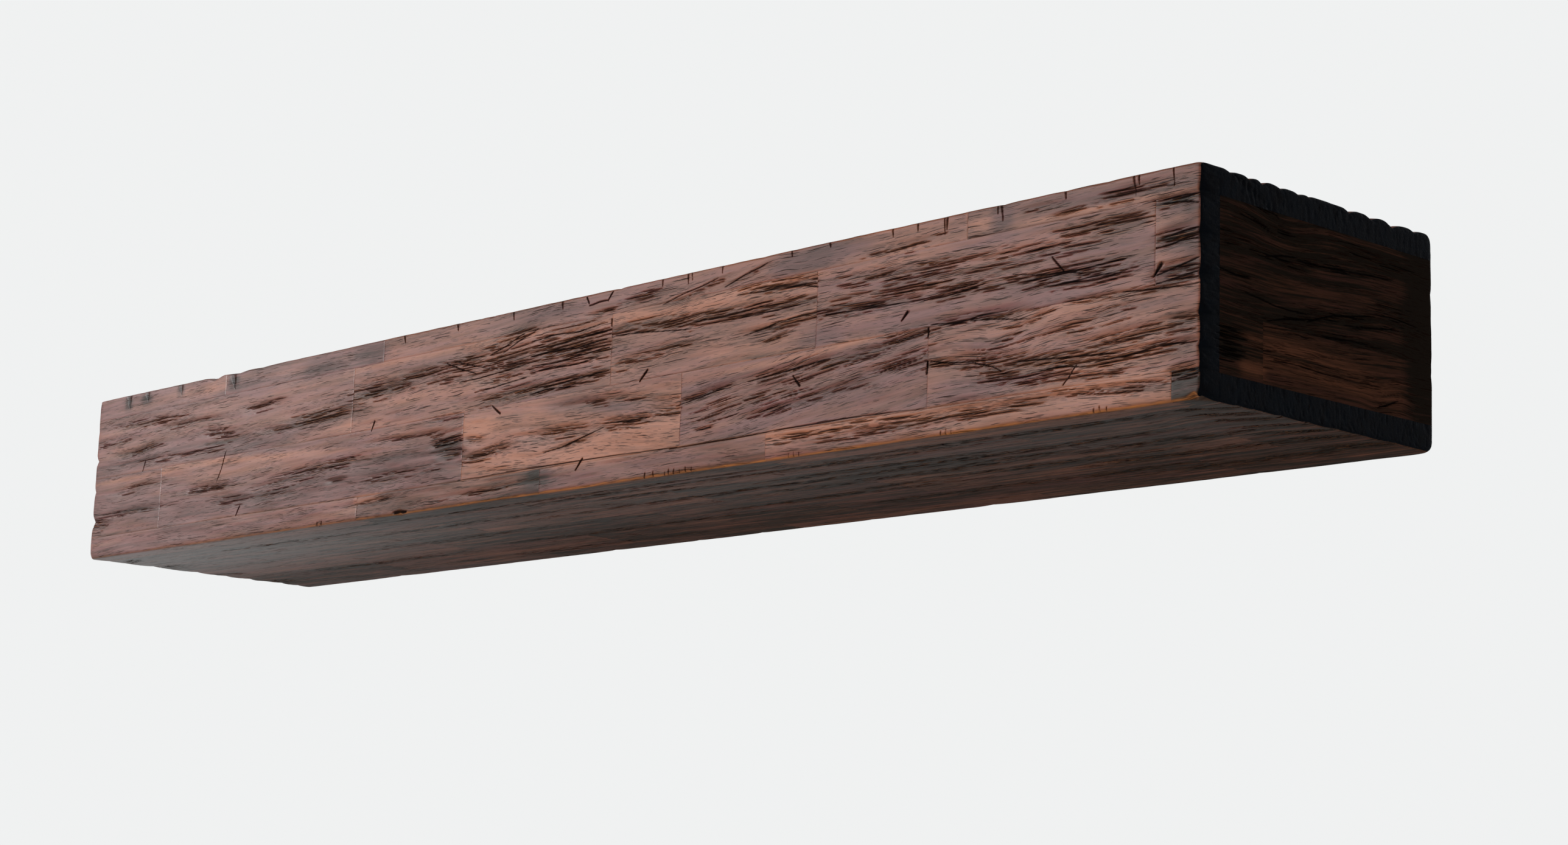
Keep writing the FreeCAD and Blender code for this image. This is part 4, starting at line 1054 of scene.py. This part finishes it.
def stained_hardwood(colours, name="stained_hardwood", shade=0.0, wax_and_painted_sheen=0.36, painted_sheen_haze=0.33, figure=1.0):
    """Dark stain over figured hardwood, satin on the long grain and dull on the sawn ends.

    Figure, fibres, dashes and pores follow the grain attribute. The stain attribute gives each place
    its warmth, depth and how streaky it is, the wear attribute its checks, rubs and end grain, and
    the underside attribute is 1 on the underside, where the stain is made deeper and warmer as
    painted shade and the coat is made thicker as painted sheen that thins out toward the wall.
    Everywhere the coat's painted sheen thins out toward the right end. Shade deepens the stain as
    painted shade, the wax is the coat of the other faces before that fall-off, the haze adds painted
    sheen at the left end and a quarter of that at the right, and figure scales the smoky patches and
    the painted highlights beside the dashes.
    """
    material, tree = material_tree(name)
    right, wallward, _ = tree.parts(tree.place())
    left = 1 - right.ramp(-0.6, -0.1)
    # Painted sheen on the underside: coat weight set by place, falling toward the right end and the wall
    below = 0.62 * (1 - 0.7 * right.ramp(-0.6, 0.0) - 0.08 * right.ramp(0.1, 0.6))
    below = below * (1 - 0.75 * wallward.ramp(-0.2, -0.03))
    # Painted sheen on the other faces: the coat thins toward the right end, and the haze term adds painted
    # sheen at the left end and a quarter of it at the right
    beside = wax_and_painted_sheen * (1 - 0.75 * right.ramp(-0.6, 0.5)) + painted_sheen_haze * (left + right.ramp(0.1, 0.6) * 0.25)
    grain = tree.attribute("grain")
    along, across, inward = tree.parts(grain)
    warmth, depth, streak = tree.parts(tree.attribute("stain"))
    check, rub, end = tree.parts(tree.attribute("wear"))
    down = tree.parts(tree.attribute("underside_painted_shade"))[0]
    broad = tree.noise(grain, (7, 80, 80), 2) - 0.5
    mottle = tree.noise(grain, (20, 190, 190), 3, 0.6, 0.3) - 0.5
    fibre = tree.noise(grain, (15, 520, 520), 4, 0.7, 0.15) - 0.5
    clump = tree.noise(grain, (22, 120, 120), 2, 0.5) - 0.5
    smoke = tree.noise(grain, (9, 90, 90), 3, 0.6, 0.4) - 0.5
    level = across + inward + (tree.noise(grain, (45, 200, 200), 2) - 0.5) * (3.0 * MM)
    share = streak * 0.75 + clump * 1.4 + smoke * 0.6 + 0.36
    bold, bold_rim_highlight = tree.dashes(along, level, 30 * MM, 2.1 * MM, 0.40 * MM, share - 0.1, 3)
    thin, thin_rim_highlight = tree.dashes(along, level, 15 * MM, 1.2 * MM, 0.27 * MM, share - 0.02, 7)
    faint, _ = tree.dashes(along, level, 8 * MM, 0.75 * MM, 0.17 * MM, share - 0.05, 13)
    lines = (bold + thin * 0.9).clamped()
    # Painted highlights along the lower rim of each dash, standing in for light on a groove's edge
    painted_rim_highlights = (bold_rim_highlight + thin_rim_highlight).clamped() * (streak * 0.8 + 0.2).clamped()
    pores = tree.noise(grain, (70, 1000, 1000), 1, 0.4).ramp(0.60, 0.70)
    # On the underside the stain is made warmer and deeper as painted shade; the left end's tone is cooler
    warm = (warmth - left * 0.15 + down * 0.2 + broad * 1.6 + mottle * 1.2 + fibre * 0.8).clamped()
    deep = depth + shade + down * 0.45 + streak * 0.32 - 0.03
    deep = (deep + (smoke * 1.1 + mottle * 0.8) * figure + fibre * 1.6).clamped()
    wood = tree.blend(warm, colour(colours.plum), colour(colours.tan))
    wood = tree.blend(deep, wood, colour(colours.dark))
    wood = tree.blend((faint * 0.65 + pores * 0.3).clamped(), wood, colour(colours.pore))
    rubbed = rub * (fibre + 0.5).ramp(0.25, 0.6) * (0.3 + right.ramp(-0.5, 0.15) * 0.7)
    # The rubbed arrises are real wear; the dash rims are painted highlights in the same colour
    wood = tree.blend((rubbed + painted_rim_highlights * figure * 0.4).clamped(), wood, colour(colours.rubbed))
    # Lines and checks fade at the left end under its painted sheen
    wood = tree.blend(lines * (0.88 - left * 0.3), wood, colour(colours.pore))
    wood = tree.blend(check * (0.95 - left * 0.3), wood, colour(colours.check))
    height = fibre * 0.5 + mottle * 0.6 - lines * 1.0 - faint * 0.3 - pores * 0.2
    beside = beside * (1.12 - deep * 0.5)
    sheen = beside + down * (below - beside)
    long_grain = tree.principled(
        base_color=wood, roughness=(0.48 + fibre * 0.4 + (check + lines) * 0.25).clamped(),
        normal=tree.bump(height, 0.7 * MM, 0.8), specular_ior_level=0.0,
        coat_weight=sheen * (1 - (check + lines * 0.85 + faint * 0.5).clamped()), coat_roughness=0.3)
    cells = tree.noise(grain, (700, 700, 700), 2, 0.6)
    rings = tree.noise(grain, (60, 120, 90), 3, 0.5, 0.8)
    # The sawn ends' colour carries painted shade
    sawn = tree.blend(rings, colour(colours.sawn_end_stain_and_painted_shade), colour(colours.check))
    sawn_end_stain_and_painted_shade = tree.principled(
        base_color=sawn, roughness=0.6 + (cells - 0.5) * 0.3, normal=tree.bump(cells, 0.3 * MM, 0.6),
        specular_ior_level=0.012)
    tree.surface(tree.node("ShaderNodeMixShader", None, {0: end, 1: long_grain, 2: sawn_end_stain_and_painted_shade}))
    return material


def bare_wood(name, pale, dark, cycles, roughness):
    """Unfinished wood with rings and fibres stretched along one axis of the row frame."""
    material, tree = material_tree(name)
    place = tree.place()
    rings = tree.noise(place, cycles, 2, 0.5, 0.6)
    fibre = tree.noise(place, tuple(count * 9 for count in cycles), 3, 0.6)
    tone = ((1 - abs(rings * 2 - 1)).ramp(0.55, 1.0) * 0.6 + (fibre - 0.5) * 0.5 + 0.2).clamped()
    wood = tree.blend(tone, colour(pale), colour(dark))
    tree.surface(tree.principled(base_color=wood, roughness=roughness + (fibre - 0.5) * 0.2,
                                 normal=tree.bump(fibre, 0.3 * MM, 0.5), specular_ior_level=0.1))
    return material


def plated_steel(colours):
    """Zinc plating with a faint mottle."""
    material, tree = material_tree("zinc_plated_steel")
    bloom = tree.noise(tree.place(), (900, 900, 900), 3)
    tone = tree.blend(bloom, colour(colours.steel), colour(part * 0.6 for part in colours.steel))
    tree.surface(tree.principled(base_color=tone, metallic=1.0, roughness=0.28 + bloom * 0.2))
    return material


def seen_directly(tree):
    """1 for what the camera sees itself, in a mirroring surface or through a clear one, else 0."""
    rays = tree.node("ShaderNodeLightPath")
    camera, glossy, clear = (Socket(tree, rays.link.node.outputs[name])
                             for name in ("Is Camera Ray", "Is Glossy Ray", "Is Transmission Ray"))
    return (camera + glossy + clear).clamped()


def floor_paint(colours):
    """Matt pale paint, clear from below.

    Seen directly it melts into the backdrop and keeps a part of its shadows.
    """
    material, tree = material_tree("floor_paint")
    cloud = tree.noise(tree.place(), (1.5, 1.5, 1.5), 2)
    paint = tree.blend(cloud, colour(colours.floor), colour(part * 0.97 for part in colours.floor))
    matt = tree.principled(base_color=paint, roughness=0.9, specular_ior_level=0.1)
    glow = tree.node("ShaderNodeEmission", None, {"Color": colour(colours.backdrop), "Strength": 1.0})
    upper = tree.node("ShaderNodeMixShader", None, {0: seen_directly(tree) * 0.85, 1: matt, 2: glow})
    behind = Socket(tree, tree.node("ShaderNodeNewGeometry").link.node.outputs["Backfacing"])
    clear = tree.node("ShaderNodeBsdfTransparent")
    tree.surface(tree.node("ShaderNodeMixShader", None, {0: behind, 1: upper, 2: clear}))
    return material


def length_size(name, description, value, low, high):
    """Length property in metres."""
    return bpy.props.FloatProperty(name=name, description=description, default=value, min=low, max=high,
                                   unit="LENGTH", precision=5)


def colour_value(name, description, value):
    """Colour property in scene-linear numbers."""
    return bpy.props.FloatVectorProperty(name=name, description=description, default=value, min=0, max=1,
                                         size=3, subtype="COLOR")


def angle_value(name, description, degrees):
    """Angle property, its default given in degrees."""
    return bpy.props.FloatProperty(name=name, description=description, default=math.radians(degrees),
                                   subtype="ANGLE")


def power_value(name, description, watts):
    """Power of a lamp."""
    return bpy.props.FloatProperty(name=name, description=description, default=watts, min=0, subtype="POWER")


class ShelfSizes(bpy.types.PropertyGroup):
    """Fineness of the staves' surfaces and the sizes of their wear."""

    grid_along: length_size("Step along", "Distance between places along the front staves",
                            1.7 * MM, 0.0005, 0.01)
    grid_across: length_size("Step across", "Distance between places across them", 0.5 * MM, 0.0003, 0.01)
    arris_radius: length_size("Arris radius", "Rounding of the unworn arrises", 1.9 * MM, 0.0005, 0.01)
    arris_softness: length_size("Arris softness", "Softness of the worn flats' edges",
                                0.8 * MM, 0.0001, 0.005)
    notch_width: length_size("Notch width", "Width of a full notch in an arris", 20 * MM, 0.002, 0.08)
    notch_depth: length_size("Notch depth", "Depth of a full notch in an arris", 2.0 * MM, 0.0002, 0.005)
    scraped_depth: length_size("Scraped waves", "Depth of the hand-scraped waves", 0.35 * MM, 0, 0.002)
    ripple_depth: length_size("Ripples", "Depth of the ripples along the grain", 0.28 * MM, 0, 0.002)
    hollow_depth: length_size("Hollows", "Depth of the worn hollows along the checks", 0.5 * MM, 0, 0.002)
    check_depth: length_size("Check depth", "Depth of the darkest checks", 0.6 * MM, 0, 0.002)
    joint_depth: length_size("Joint line depth", "Depth of the line along glued edges",
                             0.08 * MM, 0, 0.001)
    joint_width: length_size("Joint line width", "Half width of that line", 0.45 * MM, 0.0001, 0.002)


class ShelfColours(bpy.types.PropertyGroup):
    """Colours of the stain and of the woods and metal behind it."""

    plum: colour_value("Plum stain", "Coolest tone of the stain", (0.184, 0.066, 0.057))
    tan: colour_value("Tan stain", "Warmest tone of the stain", (0.362, 0.135, 0.073))
    dark: colour_value("Dark stain", "Deepest tone of the stain", (0.028, 0.0195, 0.0145))
    pore: colour_value("Pores", "Stain in the pores and fine lines", (0.028, 0.012, 0.009))
    check: colour_value("Checks", "Stain gathered in checks and cuts", (0.006, 0.0045, 0.0045))
    # Also the colour of the painted highlights beside the dashes
    rubbed: colour_value("Rubbed arris", "Wood where the stain is rubbed through", (0.46, 0.16, 0.045))
    # Stain of the end grain, made darker and bluer as painted shade of the end faces
    sawn_end_stain_and_painted_shade: colour_value("Sawn ends", "Stain soaked into end grain", (0.008, 0.012, 0.018))
    softwood: colour_value("Softwood", "Unfinished cleat, ribs and glue blocks", (0.60, 0.40, 0.22))
    softwood_ring: colour_value("Softwood rings", "Late wood of the softwood", (0.42, 0.22, 0.09))
    beech: colour_value("Beech", "Dowels", (0.62, 0.42, 0.26))
    beech_fleck: colour_value("Beech flecks", "Flecks of the dowels", (0.45, 0.25, 0.13))
    plug: colour_value("Plugs", "Stained plugs over the screws", (0.11, 0.048, 0.038))
    steel: colour_value("Steel", "Plated screws", (0.62, 0.61, 0.58))
    floor: colour_value("Floor", "Floor of the studio", (0.80, 0.80, 0.79))
    backdrop: colour_value("Backdrop", "What the camera sees behind the beam", (0.87, 0.88, 0.88))


class StudioSettings(bpy.types.PropertyGroup):
    """Camera and lights of the studio."""

    azimuth: angle_value("Azimuth", "Turn of the view about the vertical", -47.006)
    elevation: angle_value("Elevation", "Rise of the view from below the beam", 10.273)
    roll: angle_value("Roll", "Turn of the picture about the view", 1.828)
    distance: length_size("Distance", "From the camera to the level of the beam's middle",
                          2.2613, 0.5, 20)
    slide: length_size("Slide", "Camera's step to its right", 0.0140, -1, 1)
    lift: length_size("Lift", "Camera's step upwards", 0.01742, -1, 1)
    lens: bpy.props.FloatProperty(name="Lens", description="Focal length for a 36 mm wide picture",
                                  default=67.322)
    key_power: power_value("Key light", "Large light in front, to the left", 415)
    back_power: power_value("Back light", "Large light behind the wall plane", 20)
    ambient: bpy.props.FloatProperty(name="Ambient", description="Strength of the even light", default=0.10)
    floor_drop: length_size("Floor drop", "Depth of the floor below the beam's middle", 1.3, 0.2, 5)


ROW_NAMES = {
    "front": ("bottom_row", "middle_row_1", "middle_row_2", "top_row"),
    "cap": ("lower_row", "middle_row", "upper_row"),
}
TOP_STEP_FACTOR = 2.0
UNDERSIDE_STEP_FACTOR = 1.4


def build_separate_staves(context, board_name, node_prefix, row_names, material):
    """One piece for each stave of a board, in the order of its rows."""
    sizes = context.scene.shelf_sizes
    board = board_table()[board_name]
    for row, row_name in enumerate(row_names):
        for place, stave in enumerate(staves_of(board, row)):
            node = f"{node_prefix}_{row_name}_stave_{place + 1}"
            add_staves("worn_" + node, [stave], sizes, 1.0, material, [node])


def build_row_pieces(context, board_name, node_prefix, step_factor, material):
    """One piece for each row of a board, which holds its staves as separate shells."""
    sizes = context.scene.shelf_sizes
    board = board_table()[board_name]
    for row in range(len(board.joints)):
        node = f"{node_prefix}_row_{row + 1}_staves"
        add_staves("worn_" + node, staves_of(board, row), sizes, step_factor, material, [node])


def paint_nodes(names, material):
    """Gives CAD nodes a finished material."""
    for name in names:
        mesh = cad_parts[name].data
        mesh.materials.clear()
        mesh.materials.append(material)


class SHELF_OT_front_board(bpy.types.Operator):
    """Build the nineteen worn staves of the front board"""

    bl_idname = "shelf.front_board"
    bl_label = "Front board"

    def execute(self, context):
        material = stained_hardwood(context.scene.shelf_colours)
        build_separate_staves(context, "front", "front", ROW_NAMES["front"], material)
        return {"FINISHED"}


class SHELF_OT_end_caps(bpy.types.Operator):
    """Build the worn staves of both end caps"""

    bl_idname = "shelf.end_caps"
    bl_label = "End caps"

    def execute(self, context):
        # Both caps take a stain deepened as painted shade, shade 0.49, and little coat
        material = stained_hardwood(context.scene.shelf_colours, "stained_hardwood_ends_painted_shade",
                                    shade=0.49, wax_and_painted_sheen=0.06, painted_sheen_haze=0.0, figure=0.25)
        for side in ("left", "right"):
            build_separate_staves(context, side + "_cap", side + "_cap", ROW_NAMES["cap"], material)
        return {"FINISHED"}


class SHELF_OT_top_board(bpy.types.Operator):
    """Build the five rows of worn staves that make the shelf surface"""

    bl_idname = "shelf.top_board"
    bl_label = "Top board"

    def execute(self, context):
        material = stained_hardwood(context.scene.shelf_colours, "stained_hardwood_top",
                                    wax_and_painted_sheen=0.2, painted_sheen_haze=0.0)
        build_row_pieces(context, "top", "top_board", TOP_STEP_FACTOR, material)
        return {"FINISHED"}


class SHELF_OT_bottom_board(bpy.types.Operator):
    """Build the five rows of worn staves under the beam"""

    bl_idname = "shelf.bottom_board"
    bl_label = "Bottom board"

    def execute(self, context):
        material = stained_hardwood(context.scene.shelf_colours)
        build_row_pieces(context, "bottom", "bottom_board", UNDERSIDE_STEP_FACTOR, material)
        return {"FINISHED"}


class SHELF_OT_carcass(bpy.types.Operator):
    """Finish the wall cleat, ribs and glue blocks in bare softwood"""

    bl_idname = "shelf.carcass"
    bl_label = "Cleat, ribs and glue blocks"

    def execute(self, context):
        colours = context.scene.shelf_colours
        pale, ring = colours.softwood, colours.softwood_ring
        lengthwise = bare_wood("softwood_lengthwise", pale, ring, (4, 110, 60), 0.7)
        upright = bare_wood("softwood_upright", pale, ring, (110, 60, 5), 0.7)
        inward = bare_wood("softwood_inward", pale, ring, (110, 5, 70), 0.7)
        paint_nodes(("wall_cleat", "front_top_glue_blocks", "front_bottom_glue_blocks"), lengthwise)
        paint_nodes(("left_rib", "right_rib"), upright)
        paint_nodes(("left_end_glue_blocks", "right_end_glue_blocks"), inward)
        return {"FINISHED"}


class SHELF_OT_fasteners(bpy.types.Operator):
    """Finish the dowels, screws and plugs"""

    bl_idname = "shelf.fasteners"
    bl_label = "Dowels, screws and plugs"

    def execute(self, context):
        colours = context.scene.shelf_colours
        beech = bare_wood("dowel_beech", colours.beech, colours.beech_fleck, (300, 40, 300), 0.6)
        plug = bare_wood("plug_hardwood", colours.plug, colours.dark, (40, 500, 500), 0.45)
        paint_nodes(("front_top_dowels", "front_bottom_dowels", "end_cap_dowels"), beech)
        paint_nodes(("screw_plugs",), plug)
        paint_nodes(("cleat_screws",), plated_steel(colours))
        return {"FINISHED"}


class SHELF_OT_stage(bpy.types.Operator):
    """Set up the floor, the light and the camera"""

    bl_idname = "shelf.stage"
    bl_label = "Studio"

    def execute(self, context):
        studio, colours = context.scene.shelf_studio, context.scene.shelf_colours
        add_floor(studio, colours)
        add_light("key_light", studio.key_power, *KEY_LIGHT)
        add_light("back_light", studio.back_power, *BACK_LIGHT)
        light_world(studio, colours)
        add_camera(studio)
        context.scene.view_settings.view_transform = "Standard"
        return {"FINISHED"}


def add_floor(studio, colours):
    """Round pale floor far below the beam: a disc of rings and spokes that rises gently at its rim."""
    radius, dish = 14.0, 0.02
    rings, spokes = np.meshgrid(np.linspace(0.02, 1, 12), np.linspace(0, 2 * math.pi, 64, endpoint=False),
                                indexing="ij")
    reach = radius * rings
    height = dish * rings ** 2 - studio.floor_drop
    points = np.stack((reach * np.cos(spokes), reach * np.sin(spokes), height), -1)
    number = np.arange(rings.size).reshape(rings.shape)
    ahead = np.roll(number, -1, 1)
    quads = np.stack((number[:-1], number[1:], ahead[1:], ahead[:-1]), -1).reshape(-1, 4)
    mesh = bpy.data.meshes.new("floor")
    mesh.from_pydata(points.reshape(-1, 3).tolist(), [], quads.tolist() + [number[0].tolist()])
    mesh.materials.append(floor_paint(colours))
    floor = bpy.data.objects.new("floor", mesh)
    bpy.context.scene.collection.objects.link(floor)


def add_light(name, power, place, size):
    """Square area light that faces the beam's middle."""
    light = bpy.data.lights.new(name, "AREA")
    light.energy, light.size = power, size
    lamp = bpy.data.objects.new(name, light)
    lamp.location = place
    lamp.rotation_euler = (-Vector(place)).to_track_quat("-Z", "Y").to_euler()
    bpy.context.scene.collection.objects.link(lamp)


def light_world(studio, colours):
    """Even light, and the pale backdrop for the camera and for what is mirrored or seen through."""
    world = bpy.data.worlds.new("studio")
    bpy.context.scene.world = world
    tree = Tree(world)
    backdrop = tree.node("ShaderNodeBackground", None, {"Color": colour(colours.backdrop), "Strength": 1.0})
    even = tree.node("ShaderNodeBackground", None,
                     {"Color": (1.0, 0.99, 0.98, 1.0), "Strength": studio.ambient})
    mixed = tree.node("ShaderNodeMixShader", None, {0: seen_directly(tree), 1: even, 2: backdrop})
    tree.node("ShaderNodeOutputWorld", None, {"Surface": mixed})


def add_camera(studio):
    """Camera at the picture's angle: below the beam's middle and to its right, turned by the roll."""
    azimuth, elevation = studio.azimuth, studio.elevation
    ahead = Vector((math.sin(azimuth) * math.cos(elevation), math.cos(azimuth) * math.cos(elevation),
                    math.sin(elevation)))
    right = ahead.cross(Vector((0, 0, 1))).normalized()
    up = right.cross(ahead)
    place = right * studio.slide + up * studio.lift - ahead * studio.distance
    turned_right = right * math.cos(studio.roll) + up * math.sin(studio.roll)
    turned_up = up * math.cos(studio.roll) - right * math.sin(studio.roll)
    camera = bpy.data.objects.new("camera", bpy.data.cameras.new("camera"))
    camera.data.lens = studio.lens
    camera.data.sensor_width = 36
    camera.data.sensor_fit = "HORIZONTAL"
    turn = Matrix((turned_right, turned_up, -ahead)).transposed()
    camera.matrix_world = Matrix.Translation(place) @ turn.to_4x4()
    bpy.context.scene.collection.objects.link(camera)
    bpy.context.scene.camera = camera


class SHELF_PT_panel(bpy.types.Panel):
    """Buttons and values of the mantel shelf"""

    bl_label = "Mantel Shelf"
    bl_idname = "SHELF_PT_panel"
    bl_space_type = "VIEW_3D"
    bl_region_type = "UI"
    bl_category = "Mantel Shelf"

    def draw(self, context):
        for operator in OPERATORS:
            self.layout.operator(operator.bl_idname)
        for group in (context.scene.shelf_sizes, context.scene.shelf_colours, context.scene.shelf_studio):
            column = self.layout.column(align=True)
            for name in group.bl_rna.properties.keys():
                if name not in ("rna_type", "name"):
                    column.prop(group, name)


GROUPS = {"shelf_sizes": ShelfSizes, "shelf_colours": ShelfColours, "shelf_studio": StudioSettings}
OPERATORS = (
    SHELF_OT_front_board, SHELF_OT_end_caps, SHELF_OT_top_board, SHELF_OT_bottom_board,
    SHELF_OT_carcass, SHELF_OT_fasteners, SHELF_OT_stage,
)


def register():
    """Register the classes and hang the property groups on the scene."""
    for group in (*GROUPS.values(), *OPERATORS, SHELF_PT_panel):
        bpy.utils.register_class(group)
    for name, group in GROUPS.items():
        setattr(bpy.types.Scene, name, bpy.props.PointerProperty(type=group))


def unregister():
    """Take the property groups off the scene and unregister the classes."""
    for name in GROUPS:
        delattr(bpy.types.Scene, name)
    for group in reversed((*GROUPS.values(), *OPERATORS, SHELF_PT_panel)):
        bpy.utils.unregister_class(group)


def main():
    """Build every piece and the studio."""
    register()
    bpy.ops.shelf.stage()
    bpy.ops.shelf.front_board()
    bpy.ops.shelf.end_caps()
    bpy.ops.shelf.top_board()
    bpy.ops.shelf.bottom_board()
    bpy.ops.shelf.carcass()
    bpy.ops.shelf.fasteners()


if __name__ == "__main__":
    main()
